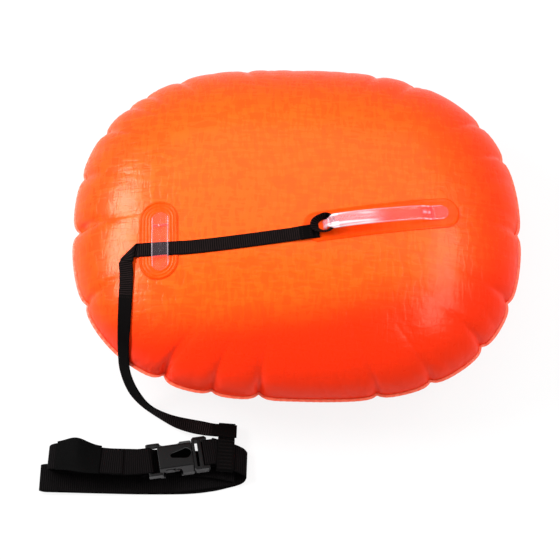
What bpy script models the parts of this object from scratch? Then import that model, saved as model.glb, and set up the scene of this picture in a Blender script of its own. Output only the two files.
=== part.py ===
"""Inflatable buoy for open water swimming, with its leash and waist belt.

Metres, +Z up. The origin is on the surface that the buoy lies on, below the middle of its
rim; +X runs along the buoy toward the end without the leash, +Y away from the belt.
"""
import math

import bmesh
import bpy
import numpy as np
from mathutils import Matrix, Vector
from mathutils.bvhtree import BVHTree

for thing in list(bpy.data.objects):
    bpy.data.objects.remove(thing, do_unlink=True)

CLEAR = 0.0003          # between pieces that rest on each other
OVERRUN = 0.002         # how far a cutter runs past what it cuts


def skin(name, colour, roughness, metallic=0.0):
    mat = bpy.data.materials.new(name)
    mat.use_nodes = True
    shader = mat.node_tree.nodes["Principled BSDF"]
    shader.inputs["Base Color"].default_value = (*colour, 1.0)
    shader.inputs["Roughness"].default_value = roughness
    shader.inputs["Metallic"].default_value = metallic
    return mat


def add(name, points, faces, mat, frame=None):
    """A closed solid from its points and faces, cut into triangles and facing out."""
    mesh = bpy.data.meshes.new(name)
    mesh.from_pydata([tuple(p) for p in points], [], [tuple(f) for f in faces])
    work = bmesh.new()
    work.from_mesh(mesh)
    bmesh.ops.triangulate(work, faces=work.faces[:])
    bmesh.ops.recalc_face_normals(work, faces=work.faces[:])
    work.to_mesh(mesh)
    work.free()
    obj = bpy.data.objects.new(name, mesh)
    bpy.context.collection.objects.link(obj)
    mesh.materials.append(mat)
    if frame is not None:
        obj.matrix_world = frame
    return obj


def guide(obj):
    obj.hide_render = True
    obj.display_type = "WIRE"
    return obj


def boolean(obj, other, how):
    """Cut, join or intersect with a guide that stays in the file."""
    step = obj.modifiers.new(f"{how.lower()}_{other.name}", "BOOLEAN")
    step.operation = how
    step.solver = "EXACT"
    step.object = guide(other)


def skin_over(loops, closed=False):
    """Faces between equal loops of points, with flat ends unless the row of loops closes."""
    count, sides = len(loops), len(loops[0])
    faces = []
    for i in range(count if closed else count - 1):
        a, b = i * sides, (i + 1) % count * sides
        for j in range(sides):
            k = (j + 1) % sides
            faces.append((a + j, a + k, b + k, b + j))
    if not closed:
        faces.append(tuple(range(sides))[::-1])
        faces.append(tuple((count - 1) * sides + j for j in range(sides)))
    return [p for loop in loops for p in loop], faces


def unit(v):
    v = np.asarray(v, float)
    return v / np.linalg.norm(v)


def webbing(name, lefts, rights, thick, mat, closed=False, frame=None, normals=None):
    """A flat strap through pairs of edge points: four corners at each place."""
    lefts, rights = np.asarray(lefts, float), np.asarray(rights, float)
    middle = (lefts + rights) / 2
    if closed:
        along = np.roll(middle, -1, 0) - np.roll(middle, 1, 0)
    else:
        along = np.gradient(middle, axis=0)
    loops = []
    for i, (left, right, t) in enumerate(zip(lefts, rights, along)):
        n = unit(np.cross(t, left - right)) if normals is None else normals[i]
        h = n * thick / 2
        loops.append([left - h, right - h, right + h, left + h])
    return add(name, *skin_over(loops, closed), mat, frame)


def smooth_route(points, step, fields=()):
    """Even places on a smooth curve through the route's points, and fields along with it."""
    rows = np.array([[*p, *f] for p, f in zip(points, fields)] if len(fields) else points, float)
    ends = np.vstack([2 * rows[0] - rows[1], rows, 2 * rows[-1] - rows[-2]])
    fine = []
    for i in range(len(rows) - 1):
        p0, p1, p2, p3 = ends[i:i + 4]
        for s in np.linspace(0, 1, 40, endpoint=False):
            fine.append(0.5 * (2 * p1 + (p2 - p0) * s + (2 * p0 - 5 * p1 + 4 * p2 - p3) * s**2
                               + (3 * p1 - p0 - 3 * p2 + p3) * s**3))
    fine = np.array(fine + [rows[-1]])
    run = np.r_[0, np.cumsum(np.linalg.norm(np.diff(fine[:, :3], axis=0), axis=1))]
    even = np.linspace(0, run[-1], max(2, round(run[-1] / step)) + 1)
    return np.stack([np.interp(even, run, fine[:, c]) for c in range(fine.shape[1])], 1)


# Buoy: two film panels welded round their rim, blown up to a flat oval cushion.
BUOY_LENGTH = 0.490
BUOY_WIDTH = 0.388
BUOY_HALF_HEIGHT = 0.070
REST_CUT = 0.0005
FILM = 0.0008
WELD_WIDTH = 0.003
WELD_THICK = 0.0012
END_POWER = 2.9
SIDE_POWER = 2.3
CROWN_POWER = 2.6
PUCKER_DEPTH = 0.0052
PUCKER_SPREAD = 0.008
PUCKER_FADE = 6
RIM_STEPS = 78
FRONT_RING_SHARES = (0.2, 0.38, 0.54, 0.68, 0.8, 0.9, 0.965, 1.0)
BACK_RING_SHARES = (0.19, 0.38, 0.54, 0.68, 0.8, 0.9, 0.965, 1.0)
# Places of the puckers round the rim in degrees from +X, and how deep each is drawn in.
PUCKER_DEGREES = (359.9, 21.1, 32.6, 54.1, 65.0, 107.5, 128.1, 138.0, 143.8, 153.0, 167.3, 182.5,
                  202.6, 231.5, 245.5, 259.5, 295.3, 310.3, 327.0, 340.8)
PUCKER_SHARES = (0.5, 0.45, 0.45, 0.4, 0.35, 0.3, 0.5, 0.4, 0.45, 0.55, 0.5, 1.0,
                 0.55, 1.0, 0.6, 0.8, 0.55, 0.6, 0.65, 0.6)
ORANGE = skin("orange_film", (1.0, 0.13, 0.02), 0.35)
CLEAR_FILM = skin("clear_film", (0.95, 0.45, 0.33), 0.2)

RIM_Z = BUOY_HALF_HEIGHT - REST_CUT
SEAM_HALF = WELD_THICK / 2 + CLEAR


def oval(turns):
    c, s = np.cos(turns), np.sin(turns)
    return np.stack([BUOY_LENGTH / 2 * np.sign(c) * np.abs(c) ** (2 / END_POWER),
                     BUOY_WIDTH / 2 * np.sign(s) * np.abs(s) ** (2 / SIDE_POWER)], 1)


def rim_samples():
    """Points of the oval, their outward directions and how far the puckers draw them in."""
    fine = oval(np.linspace(0, 2 * np.pi, 7201))
    run = np.r_[0, np.cumsum(np.linalg.norm(np.diff(fine, axis=0), axis=1))]
    total = run[-1]
    bearing = np.degrees(np.unwrap(np.arctan2(fine[:, 1], fine[:, 0])))
    at = np.interp(np.array(PUCKER_DEGREES) % 360, bearing, run)
    even = np.arange(RIM_STEPS) * total / RIM_STEPS
    for place in at:
        even[np.argmin(np.abs((even - place + total / 2) % total - total / 2))] = place
    even.sort()
    place = np.stack([np.interp(even, run, fine[:, 0]), np.interp(even, run, fine[:, 1])], 1)
    ahead = np.stack([np.interp((even + WELD_WIDTH) % total, run, fine[:, c]) for c in (0, 1)], 1)
    behind = np.stack([np.interp((even - WELD_WIDTH) % total, run, fine[:, c]) for c in (0, 1)], 1)
    out = np.stack([(ahead - behind)[:, 1], -(ahead - behind)[:, 0]], 1)
    out /= np.linalg.norm(out, axis=1)[:, None]
    away = np.abs((even[:, None] - at[None] + total / 2) % total - total / 2)
    drawn = PUCKER_DEPTH * (np.array(PUCKER_SHARES) * np.exp(-away / PUCKER_SPREAD)).sum(1)
    return place, out, drawn


RIM, RIM_OUT, RIM_DRAWN = rim_samples()
PANEL_RIM = RIM - RIM_OUT * WELD_WIDTH
CROWN = BUOY_HALF_HEIGHT - SEAM_HALF


def crown_at(share):
    return CROWN * math.sqrt(max(0.0, 1 - share ** CROWN_POWER))


def panel_rows(shares, side, lift=0.0):
    """Rings of points on a panel's outside, moved out by lift along the surface's normal."""
    rows = []
    for share in shares:
        flat = share * PANEL_RIM - RIM_OUT * (RIM_DRAWN * share ** PUCKER_FADE)[:, None]
        reach = (RIM_OUT * PANEL_RIM).sum(1)
        if share < 1:
            fall = (CROWN * CROWN_POWER * share ** (CROWN_POWER - 1)
                    / (2 * math.sqrt(1 - share ** CROWN_POWER))) / reach
            n = np.column_stack([RIM_OUT * fall[:, None], np.ones(RIM_STEPS)])
            n /= np.linalg.norm(n, axis=1)[:, None]
        else:
            n = np.column_stack([RIM_OUT, np.zeros(RIM_STEPS)])
        up = SEAM_HALF + crown_at(share)
        rows.append(np.column_stack([flat, np.full(RIM_STEPS, up)]) + n * lift)
    rows = [r * (1, 1, side) + (0, 0, RIM_Z) for r in rows]
    return rows


def lid(rows, middle, start):
    """Triangles and quads of one dome: a fan about its middle, then ring to ring."""
    faces = [(start, start + 1 + k, start + 1 + (k + 1) % RIM_STEPS) for k in range(RIM_STEPS)]
    for i in range(len(rows) - 1):
        a, b = start + 1 + i * RIM_STEPS, start + 1 + (i + 1) * RIM_STEPS
        for k in range(RIM_STEPS):
            j = (k + 1) % RIM_STEPS
            faces.append((a + k, b + k, b + j, a + j))
    return [middle, *(p for r in rows for p in r)], faces


def dome_solid(name, shares, side, high, low, mat, floor=False):
    """A closed skin between two lifts of a panel's surface, joined along its last ring."""
    parts = []
    for lift in (high, low):
        rows = panel_rows(shares, side, lift)
        middle = np.array([0, 0, RIM_Z + side * (SEAM_HALF + CROWN + lift)])
        if floor:
            bottom = high - lift
            rows = [np.column_stack([r[:, :2], np.maximum(r[:, 2], bottom)]) for r in rows]
            middle[2] = max(middle[2], bottom)
        parts.append((rows, middle))
    outer, faces = lid(*parts[0], 0)
    inner, more = lid(*parts[1], len(outer))
    faces += [f[::-1] for f in more]
    a = len(outer) - RIM_STEPS
    b = len(outer) + len(inner) - RIM_STEPS
    for k in range(RIM_STEPS):
        j = (k + 1) % RIM_STEPS
        faces.append((a + k, b + k, b + j, a + j))
    return add(name, outer + inner, faces, mat)


front_panel = dome_solid("front_panel", FRONT_RING_SHARES, 1, 0.0, -FILM, ORANGE)
back_panel = dome_solid("back_panel", BACK_RING_SHARES, -1, 0.0, -FILM, ORANGE, floor=True)


def welded_rim():
    edge = RIM - RIM_OUT * RIM_DRAWN[:, None]
    inner = edge - RIM_OUT * (WELD_WIDTH + 2 * FILM)
    loops = []
    for o, i in zip(edge, inner):
        loops.append([(*i, RIM_Z - WELD_THICK / 2), (*o, RIM_Z - WELD_THICK / 2),
                      (*o, RIM_Z + WELD_THICK / 2), (*i, RIM_Z + WELD_THICK / 2)])
    return add("weld_rim", *skin_over(loops, closed=True), ORANGE)


welded_rim()


def surface_tree(side):
    shares = FRONT_RING_SHARES if side > 0 else BACK_RING_SHARES
    rows = panel_rows(shares, side)
    middle = np.array([0, 0, RIM_Z + side * (SEAM_HALF + CROWN)])
    if side < 0:
        rows = [np.column_stack([r[:, :2], np.maximum(r[:, 2], 0)]) for r in rows]
        middle[2] = 0
    points, faces = lid(rows, middle, 0)
    triangles = []
    for f in faces:
        triangles.append(f[:3])
        if len(f) == 4:
            triangles.append((f[0], f[2], f[3]))
            triangles.append((f[0], f[1], f[3]))
            triangles.append((f[1], f[2], f[3]))
    return BVHTree.FromPolygons([tuple(p) for p in points], triangles)


FRONT_TREE = surface_tree(1)
BACK_TREE = surface_tree(-1)


def front_height(x, y):
    """The front panel's highest point over a place, or the rim's plane beyond the panel."""
    hit = FRONT_TREE.ray_cast(Vector((x, y, BUOY_LENGTH)), Vector((0, 0, -1)))[0]
    return hit.z if hit else RIM_Z


# Patches: film ovals welded on the front panel, one under each strap.
PATCH_FILM = 0.0006
HANDLE_PATCH_LENGTH = 0.168
HANDLE_PATCH_WIDTH = 0.0335
HANDLE_PATCH_X = 0.089
HANDLE_PATCH_Y = -0.0112
HANDLE_PATCH_DEGREES = 10.1
KEEPER_PATCH_LENGTH = 0.0865
KEEPER_PATCH_WIDTH = 0.0415
KEEPER_PATCH_X = -0.145
KEEPER_PATCH_Y = -0.0384
KEEPER_PATCH_DEGREES = 92.9
ARC_STEPS = 12


def long_oval(length, width, x, y, degrees):
    """Corners of an oval with straight sides and round ends."""
    a = math.radians(degrees)
    run = (length - width) / 2
    corners = []
    for end in (1, -1):
        for t in np.linspace(-np.pi / 2, np.pi / 2, ARC_STEPS + 1):
            px = end * (run + width / 2 * math.cos(t))
            py = end * width / 2 * math.sin(t)
            corners.append((x + px * math.cos(a) - py * math.sin(a),
                            y + px * math.sin(a) + py * math.cos(a)))
    return corners


def film_on(name, corners, side, low, high, mat):
    """A film of the given outline that follows a panel's facets."""
    top = RIM_Z + side * (BUOY_HALF_HEIGHT + BUOY_WIDTH)
    loops = [[(*c, z) for c in corners] for z in sorted((RIM_Z, top))]
    piece = add(name, *skin_over(loops), mat)
    shell = dome_solid(f"shell_{name}", FRONT_RING_SHARES[:-1], side, high, low, mat)
    boolean(piece, shell, "INTERSECT")
    return piece


HANDLE_OVAL = (HANDLE_PATCH_LENGTH, HANDLE_PATCH_WIDTH, HANDLE_PATCH_X, HANDLE_PATCH_Y,
               HANDLE_PATCH_DEGREES)
KEEPER_OVAL = (KEEPER_PATCH_LENGTH, KEEPER_PATCH_WIDTH, KEEPER_PATCH_X, KEEPER_PATCH_Y,
               KEEPER_PATCH_DEGREES)
film_on("handle_patch", long_oval(*HANDLE_OVAL), 1, CLEAR, CLEAR + PATCH_FILM, ORANGE)
film_on("keeper_patch", long_oval(*KEEPER_OVAL), 1, CLEAR, CLEAR + PATCH_FILM, ORANGE)
PATCH_RAMP = 0.005


def patch_cover(x, y, oval_sizes):
    """How far a place is over a patch: 1 on it, 0 from one ramp's width outside it."""
    length, width, cx, cy, degrees = oval_sizes
    a = math.radians(degrees)
    px = (x - cx) * math.cos(a) + (y - cy) * math.sin(a)
    py = (y - cy) * math.cos(a) - (x - cx) * math.sin(a)
    run = (length - width) / 2
    off = math.hypot(px - min(max(px, -run), run), py) - width / 2
    return min(max(1 - (off - 2 * CLEAR) / PATCH_RAMP, 0.0), 1.0)


def seat_height(x, y):
    """Top of what lies at a place: the panel, or a patch on it."""
    over = max(patch_cover(x, y, HANDLE_OVAL), patch_cover(x, y, KEEPER_OVAL))
    return front_height(x, y) + (CLEAR + PATCH_FILM) * over


def seat_frame(x, y, degrees, span):
    """A frame that stands on the seat: X along a bearing, Z along the seat's normal."""
    a = math.radians(degrees)
    run, side = np.array([math.cos(a), math.sin(a)]), np.array([-math.sin(a), math.cos(a)])
    here = np.array([x, y])

    def height(p):
        return seat_height(*p)
    u = np.array([*(2 * span * run), height(here + span * run) - height(here - span * run)])
    v = np.array([*(2 * span * side), height(here + span * side) - height(here - span * side)])
    u = unit(u)
    n = unit(np.cross(u, v))
    v = np.cross(n, u)
    lift = 0.0
    for p in np.linspace(-span, span, 9):
        for q in np.linspace(-span, span, 9):
            spot = here + p * run + q * side
            point = np.array([*spot, height(spot)]) - (*here, height(here))
            lift = max(lift, float(point @ n))
    origin = np.array([x, y, height(here)]) + n * lift
    frame = Matrix.Identity(4)
    for i, axis in enumerate((u, v, n, origin)):
        for j in range(3):
            frame[j][i] = float(axis[j])
    return frame


# Handle strap: a clear moulded strap with one steep end and one long slope, welded at both
# feet. Its side profile is a row of places: along share, height share of the arch.
HANDLE_LENGTH = 0.1365
HANDLE_WIDTH = 0.016
HANDLE_THICK = 0.0015
HANDLE_ARCH = 0.0135
HANDLE_START_X = 0.0275
HANDLE_START_Y = -0.0208
HANDLE_DEGREES = 8.4
HANDLE_FOOT_SHARE = 0.026
HANDLE_PROFILE_SHARES = ((0.012, 0.0), (0.004, 0.10), (0.012, 0.42), (0.040, 0.78), (0.085, 0.97),
                         (0.15, 1.02), (0.24, 1.0), (0.36, 0.91), (0.50, 0.76), (0.64, 0.60),
                         (0.74, 0.47), (0.795, 0.36), (0.83, 0.16), (0.865, 0.02), (0.90, 0.0),
                         (0.95, 0.0), (1.0, 0.0))


def handle_strap():
    a = math.radians(HANDLE_DEGREES)
    run, side = np.array([math.cos(a), math.sin(a), 0]), np.array([-math.sin(a), math.cos(a), 0])
    start = np.array([HANDLE_START_X, HANDLE_START_Y, 0])
    rows = [(HANDLE_FOOT_SHARE, 0.0)] + list(HANDLE_PROFILE_SHARES)
    middle = []
    for along, up in rows:
        p = start + run * (along * HANDLE_LENGTH)
        across = side * HANDLE_WIDTH / 2
        seat = max(seat_height(*(p + k * across)[:2]) for k in (-1, 0, 1))
        p[2] = seat + CLEAR + HANDLE_THICK / 2 + up * HANDLE_ARCH
        middle.append(p)
    middle = np.array(middle)
    return webbing("handle_strap", middle + side * HANDLE_WIDTH / 2,
                   middle - side * HANDLE_WIDTH / 2, HANDLE_THICK, CLEAR_FILM)


handle_strap()


# Keeper strap: a clear moulded strap welded over the patch, arched over the leash.
KEEPER_LENGTH = 0.064
KEEPER_WIDTH = 0.018
KEEPER_THICK = 0.0015
KEEPER_ARCH = 0.0038
KEEPER_X = -0.1431
KEEPER_Y = -0.0403
KEEPER_DEGREES = 92.9
KEEPER_PROFILE_SHARES = ((0.0, 0.0), (0.08, 0.0), (0.145, 0.0), (0.20, 0.55), (0.25, 0.95),
                         (0.31, 1.0), (0.42, 1.0), (0.53, 1.0), (0.60, 0.95), (0.66, 0.55),
                         (0.72, 0.0), (0.80, 0.0), (0.90, 0.0), (1.0, 0.0))


def keeper_strap():
    a = math.radians(KEEPER_DEGREES)
    run, side = np.array([math.cos(a), math.sin(a), 0]), np.array([-math.sin(a), math.cos(a), 0])
    lefts, rights = [], []
    for along, up in KEEPER_PROFILE_SHARES:
        p = np.array([KEEPER_X, KEEPER_Y, 0]) + run * ((along - 1 / 2) * KEEPER_LENGTH)
        edges = [p + k * side * KEEPER_WIDTH / 2 for k in (1, -1)]
        heights = [seat_height(*e[:2]) for e in edges]
        raised = max(seat_height(*p[:2]) - sum(heights) / 2, 0)
        lift = raised + CLEAR + KEEPER_THICK / 2 + up * KEEPER_ARCH
        for e, h, out in zip(edges, heights, (lefts, rights)):
            e[2] = h + lift
            out.append(e)
    return webbing("keeper_strap", lefts, rights, KEEPER_THICK, CLEAR_FILM)


keeper_strap()

# Leash: flat webbing from the handle's loop, under the keeper, folded over at a corner and
# down over the rim to the belt.
LEASH_WIDTH = 0.015
LEASH_THICK = 0.0013
LEASH_STEP = 0.005
FOLD_SPACE = 0.0005
FOLD_STEPS = 6
LAP = 0.012
WEBBING = skin("black_webbing", (0.012, 0.012, 0.014), 0.75)
LEASH_LIFT = CLEAR + LEASH_THICK / 2
# Places of the leash's middle, seen from above, from its end beside the handle to the fold.
LEASH_ON_TOP = ((0.0160, -0.0297), (0.0065, -0.0312), (-0.0237, -0.0361), (-0.0537, -0.0409),
                (-0.0800, -0.0445), (-0.1050, -0.0473), (-0.1300, -0.0488), (-0.1520, -0.0491))
LEASH_CORNER = (-0.1733, -0.0491)
# From the fold down the buoy's shoulder, still lying on the panel.
LEASH_SHOULDER = ((-0.1768, -0.0780), (-0.1772, -0.1000), (-0.1776, -0.1220), (-0.1782, -0.1428))
# Free places past the rim, each with the direction of the edge that lay nearer the middle.
LEASH_FALL = ((-0.1799, -0.1564, 0.0705, 0.81, -0.58, 0.0), (-0.1790, -0.1625, 0.0560, 0.85, -0.5, 0.08),
              (-0.1758, -0.1700, 0.0400, 0.9, -0.35, 0.25), (-0.1705, -0.1772, 0.0250, 0.8, -0.1, 0.6),
              (-0.1625, -0.1845, 0.0150, 0.5, 0.05, 0.85), (-0.1525, -0.1910, 0.0102, 0.2, 0.2, 0.97),
              (-0.1400, -0.1975, 0.0092, 0.0, 0.42, 0.9), (-0.1260, -0.2035, 0.0097, 0.0, 0.68, 0.73),
              (-0.1110, -0.2078, 0.0118, 0.03, 0.88, 0.45), (-0.0980, -0.2106, 0.0141, 0.02, 0.98, 0.12),
              (-0.0870, -0.2124, 0.0148, 0.01, 0.98, -0.12), (-0.0774, -0.2128, 0.01400, 0.0025, 0.985, -0.173),
              (-0.0684, -0.2130, 0.01294, 0.0025, 0.985, -0.173),
              (-0.0595, -0.2132, 0.01188, 0.0025, 0.985, -0.173))
LAP_RISE = LEASH_THICK + CLEAR
CORNER_REACH_SHARE = 0.8       # of the width: where the run towards the fold stops
CORNER_START_SHARE = 0.62      # of the width: where the fold's own rows start and end
OWN_GAP_APART = 0.010          # parts of a strap closer than this along it are neighbours
OWN_GAP_SPOTS = 7
OWN_GAP_OVER_SHARE = 0.7       # of the distance: how much of it lies along the normal
MILLIMETRES = 1000


def own_gap(name, lefts, rights, normals, thick):
    """Print a folded strap's least gap to itself, between points that lie over each other."""
    across = np.linspace(0, 1, OWN_GAP_SPOTS)[:, None, None]
    spots = rights + (lefts - rights) * across
    steps = np.linalg.norm(np.diff((lefts + rights) / 2, axis=0), axis=1)
    run = np.r_[0, np.cumsum(steps)]
    least = OWN_GAP_APART
    for i, n in enumerate(normals):
        later = np.nonzero(run - run[i] > OWN_GAP_APART)[0]
        offset = spots[None, :, later] - spots[:, None, i][:, :, None]
        far = np.linalg.norm(offset, axis=-1)
        over = np.abs(offset @ n) > OWN_GAP_OVER_SHARE * far
        least = min([least, *far[over]])
    print(name, "least gap to itself", round((least - thick) * MILLIMETRES, 2), "mm")


def across_seat(x, y, run, width, lift, side=None):
    """Edge points of a strap that lies on the seat, and the seat's normal there."""
    side = np.array([-run[1], run[0]]) if side is None else unit(side)
    here = np.array([x, y])

    def on_seat(p):
        return np.array([*p, seat_height(*p)])
    edges = [on_seat(here + k * side * width / 2) for k in (1, -1)]
    ahead, behind = (on_seat(here + k * run * width / 8) for k in (1, -1))
    n = unit(np.cross(ahead - behind, edges[0] - edges[1]))
    n = n if n[2] > 0 else -n
    raised = max(float((on_seat(here) - (edges[0] + edges[1]) / 2) @ n), 0)
    return [e + n * (raised + lift) for e in edges], n


def leash_stations():
    """Left and right edges of the leash, seen along its run from the handle to the belt."""
    top = smooth_route([(*p, 0) for p in LEASH_ON_TOP + (LEASH_CORNER,)], LEASH_STEP)[:, :2]
    corner = np.array(LEASH_CORNER)
    lefts, rights = [], []
    reach = LEASH_WIDTH * CORNER_REACH_SHARE
    runs = np.gradient(top, axis=0)
    kept = [i for i in range(len(top)) if np.linalg.norm(top[i] - corner) > reach]
    for i in kept:
        run = unit(runs[i])
        lap = min(max(1 - (np.linalg.norm(top[i] - top[0]) - LAP) / LAP, 0.0), 1.0)
        (left, right), n = across_seat(*top[i], run, LEASH_WIDTH, LEASH_LIFT + LAP_RISE * lap)
        lefts.append(left)
        rights.append(right)

    come = unit(corner - top[kept[-1]])
    leave = unit(np.array(LEASH_SHOULDER[0]) - corner)
    span = LEASH_WIDTH
    base = np.array([*corner, seat_height(*corner)])

    def slope(d):
        near, far = corner - d * span / 2, corner + d * span / 2
        return unit([*(d * span), seat_height(*far) - seat_height(*near)])
    d1, d2 = slope(come), slope(leave)
    n = unit(np.cross(d2, d1))
    if n[2] < 0:
        n = -n
    d1 = unit(d1 - n * (d1 @ n))
    d2 = unit(d2 - n * (d2 @ n))
    c = unit(d1 + d2)
    m = unit(d1 - c * (d1 @ c))
    across = np.cross(n, d1)
    r = (LEASH_THICK + FOLD_SPACE) / 2
    rise = max(np.array([*(p := corner + np.array([a, b]) * span / 2), seat_height(*p)]) @ n
               for a in np.linspace(-1, 1, 9) for b in np.linspace(-1, 1, 9)) - base @ n
    base = base + n * (max(rise, 0) + LEASH_LIFT)

    def wrapped(q, p):
        flat = q * d1 + p * across
        g, e = flat @ c, flat @ m
        if e <= 0:
            return base + g * c + e * m, n
        if e < math.pi * r:
            t = e / r
            return base + g * c + r * math.sin(t) * m + (r - r * math.cos(t)) * n, (
                math.cos(t) * n - math.sin(t) * m)
        return base + g * c - (e - math.pi * r) * m + 2 * r * n, -n
    normals = [None] * len(lefts)
    half = LEASH_WIDTH / 2
    for q in (-LEASH_WIDTH * CORNER_START_SHARE,):
        for p, out in ((half, lefts), (-half, rights)):
            out.append(wrapped(q, p)[0])
        normals.append(n)
    for e in np.linspace(0, math.pi * r, FOLD_STEPS + 1):
        for p, out in ((half, lefts), (-half, rights)):
            q = (e - p * (across @ m)) / (d1 @ m)
            point, normal = wrapped(q, p)
            out.append(point)
        normals.append(normal)
    q = LEASH_WIDTH * CORNER_START_SHARE + math.pi * r / (d1 @ m)
    for p, out in ((half, lefts), (-half, rights)):
        out.append(wrapped(q, p)[0])
    normals.append(-n)
    start = (lefts[-1] + rights[-1]) / 2

    shoulder = smooth_route([(*start[:2], 0)] + [(*p, 0) for p in LEASH_SHOULDER], LEASH_STEP)[:, :2]
    runs = np.gradient(shoulder, axis=0)
    first = start[2] - seat_height(*start[:2]) - LEASH_LIFT
    rim_side = -np.array(LEASH_FALL[0][3:5])
    for i in range(1, len(shoulder)):
        away = np.linalg.norm(shoulder[i] - shoulder[0])
        above = first * max(1 - away / (2 * LEASH_WIDTH), 0) ** 2
        run = unit(runs[i])
        side = np.array([run[1], -run[0]])
        turn = i / (len(shoulder) - 1)
        side = side * (1 - turn ** 2) + rim_side * turn ** 2
        lift = LEASH_LIFT + CLEAR * (1 + 3 * turn ** 2) * turn + above
        (left, right), n = across_seat(*shoulder[i], run, LEASH_WIDTH, lift, side)
        lefts.append(left)
        rights.append(right)
        normals.append(None)
    free = smooth_route([p[:3] for p in LEASH_FALL], LEASH_STEP, [p[3:] for p in LEASH_FALL])
    along = np.gradient(free[:, :3], axis=0)
    for row, t in zip(free, along):
        t = unit(t)
        w = unit(row[3:] - t * (row[3:] @ t))
        lefts.append(row[:3] - w * half)
        rights.append(row[:3] + w * half)
        normals.append(None)
    lefts, rights = np.array(lefts), np.array(rights)
    along = np.gradient((lefts + rights) / 2, axis=0)
    last = None
    for i, known in enumerate(normals):
        if known is None:
            known = unit(np.cross(along[i], lefts[i] - rights[i]))
            if last is not None and known @ last < 0:
                known = -known
        normals[i] = last = known
    return lefts, rights, normals


LEASH_LEFT, LEASH_RIGHT, LEASH_NORMAL = leash_stations()
webbing("leash_webbing", LEASH_LEFT, LEASH_RIGHT, LEASH_THICK, WEBBING, normals=LEASH_NORMAL)
own_gap("leash", LEASH_LEFT, LEASH_RIGHT, LEASH_NORMAL, LEASH_THICK)
middle = (LEASH_LEFT + LEASH_RIGHT) / 2
print(f"leash webbing {np.linalg.norm(np.diff(middle, axis=0), axis=1).sum():.3f} m long")

# Leash loop at the handle: a closed band on edge round the strap's steep leg, sewn under the
# leash's end.
RING_X = 0.0292
RING_Y = -0.0213
RING_LOW_RADIUS = 0.0091
RING_HIGH_RADIUS = 0.0112
RING_HEIGHT = 0.0100
RING_STEPS = 28
TONGUE_WIDTH = 0.0148
TONGUE_REACH_SHARE = 1.25


def handle_loop():
    frame = seat_frame(RING_X, RING_Y, 0, RING_HIGH_RADIUS)
    frame.translation += frame.col[2].to_3d() * CLEAR
    loops = []
    wall = unit([RING_HEIGHT, RING_LOW_RADIUS - RING_HIGH_RADIUS])
    for t in np.arange(RING_STEPS) * 2 * math.pi / RING_STEPS:
        c, s = math.cos(t), math.sin(t)
        rows = []
        for r, z in ((RING_LOW_RADIUS, 0), (RING_HIGH_RADIUS, RING_HEIGHT)):
            rows.append((r * c, r * s, z))
        out = (LEASH_THICK * wall[0] * c, LEASH_THICK * wall[0] * s, 0)
        loops.append([rows[0], np.add(rows[0], out), np.add(rows[1], out), rows[1]])
    ring = add("leash_handle_loop", *skin_over(loops, closed=True), WEBBING, frame)
    start, nxt = np.array(LEASH_ON_TOP[0]), np.array(LEASH_ON_TOP[1])
    run = unit(nxt - start)
    side = np.array([-run[1], run[0]])
    tip = start + run * LAP
    root = start - run * (LEASH_WIDTH / 2)
    loops = []
    for p in np.linspace(tip, root, 7):
        edges = [p + k * side * TONGUE_WIDTH / 2 for k in (1, -1)]
        heights = [seat_height(*e) for e in edges]
        raised = max(seat_height(*p) - sum(heights) / 2, 0) + CLEAR
        (a, b), (ha, hb) = edges, heights
        loops.append([(*a, ha + raised), (*b, hb + raised), (*b, hb + raised + LEASH_THICK),
                      (*a, ha + raised + LEASH_THICK)])
    tongue = add("tongue", *skin_over(loops), WEBBING)
    bore = []
    for z in (-OVERRUN, RING_HEIGHT + OVERRUN):
        bore.append([(RING_LOW_RADIUS * math.cos(t), RING_LOW_RADIUS * math.sin(t), z)
                     for t in np.arange(RING_STEPS) * 2 * math.pi / RING_STEPS])
    boolean(ring, tongue, "UNION")
    boolean(ring, add("ring_bore", *skin_over(bore), WEBBING, frame), "DIFFERENCE")


handle_loop()


# Side-release buckle, in its own frame: X along it toward the male half, Y across, Z up.
BELT_WIDTH = 0.030
BELT_THICK = 0.0016
BUCKLE_X = -0.1215
BUCKLE_Y = -0.2443
BUCKLE_Z = 0.0150
BUCKLE_YAW = 10.5
BUCKLE_PITCH = 3.0
BUCKLE_ROLL = -12.0
SIDE_ROOM = 0.0008
RAIL_WIDTH = 0.0035
RAIL_THICK = 0.0066
BUCKLE_THICK = 0.0120
BUCKLE_WALL = 0.0018
SIDE_WALL = 0.0028
END_WALL = 0.0020
BAR_WIDE = 0.0040
BAR_SIDES = 12
BODY_LENGTH = 0.0370
MOUTH_X = 0.0160
FEMALE_SLOT = 0.0080
WINDOW_LENGTH = 0.0220
WINDOW_HEIGHT = 0.0076
MOUTH_BAND = 0.0110
CORNER = 0.0022
MALE_FRAME = 0.0170
CROSS_WALL = 0.0030
FINGER_GAP = 0.0030
INNER_BAR = 0.0040
MALE_SLOT = 0.0026
MALE_THICK = 0.0090
TONGUE_LENGTH = 0.0250
TONGUE_WIDE = 0.0080
TONGUE_THICK = 0.0034
ARM_LENGTH = 0.0310
ARM_THICK = 0.0026
ARM_HEIGHT = 0.0046
ARM_ROOM = 0.0012
PAD_LENGTH = 0.0110
PRESS_DEGREES = 6.0
RELEASE_TRAVEL = 0.034
RECESS_DEPTH = 0.0007
RECESS_LENGTH = 0.0200
RECESS_WIDTH = 0.0090
BUCKLE_BLACK = skin("black_plastic", (0.02, 0.02, 0.022), 0.35)

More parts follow.
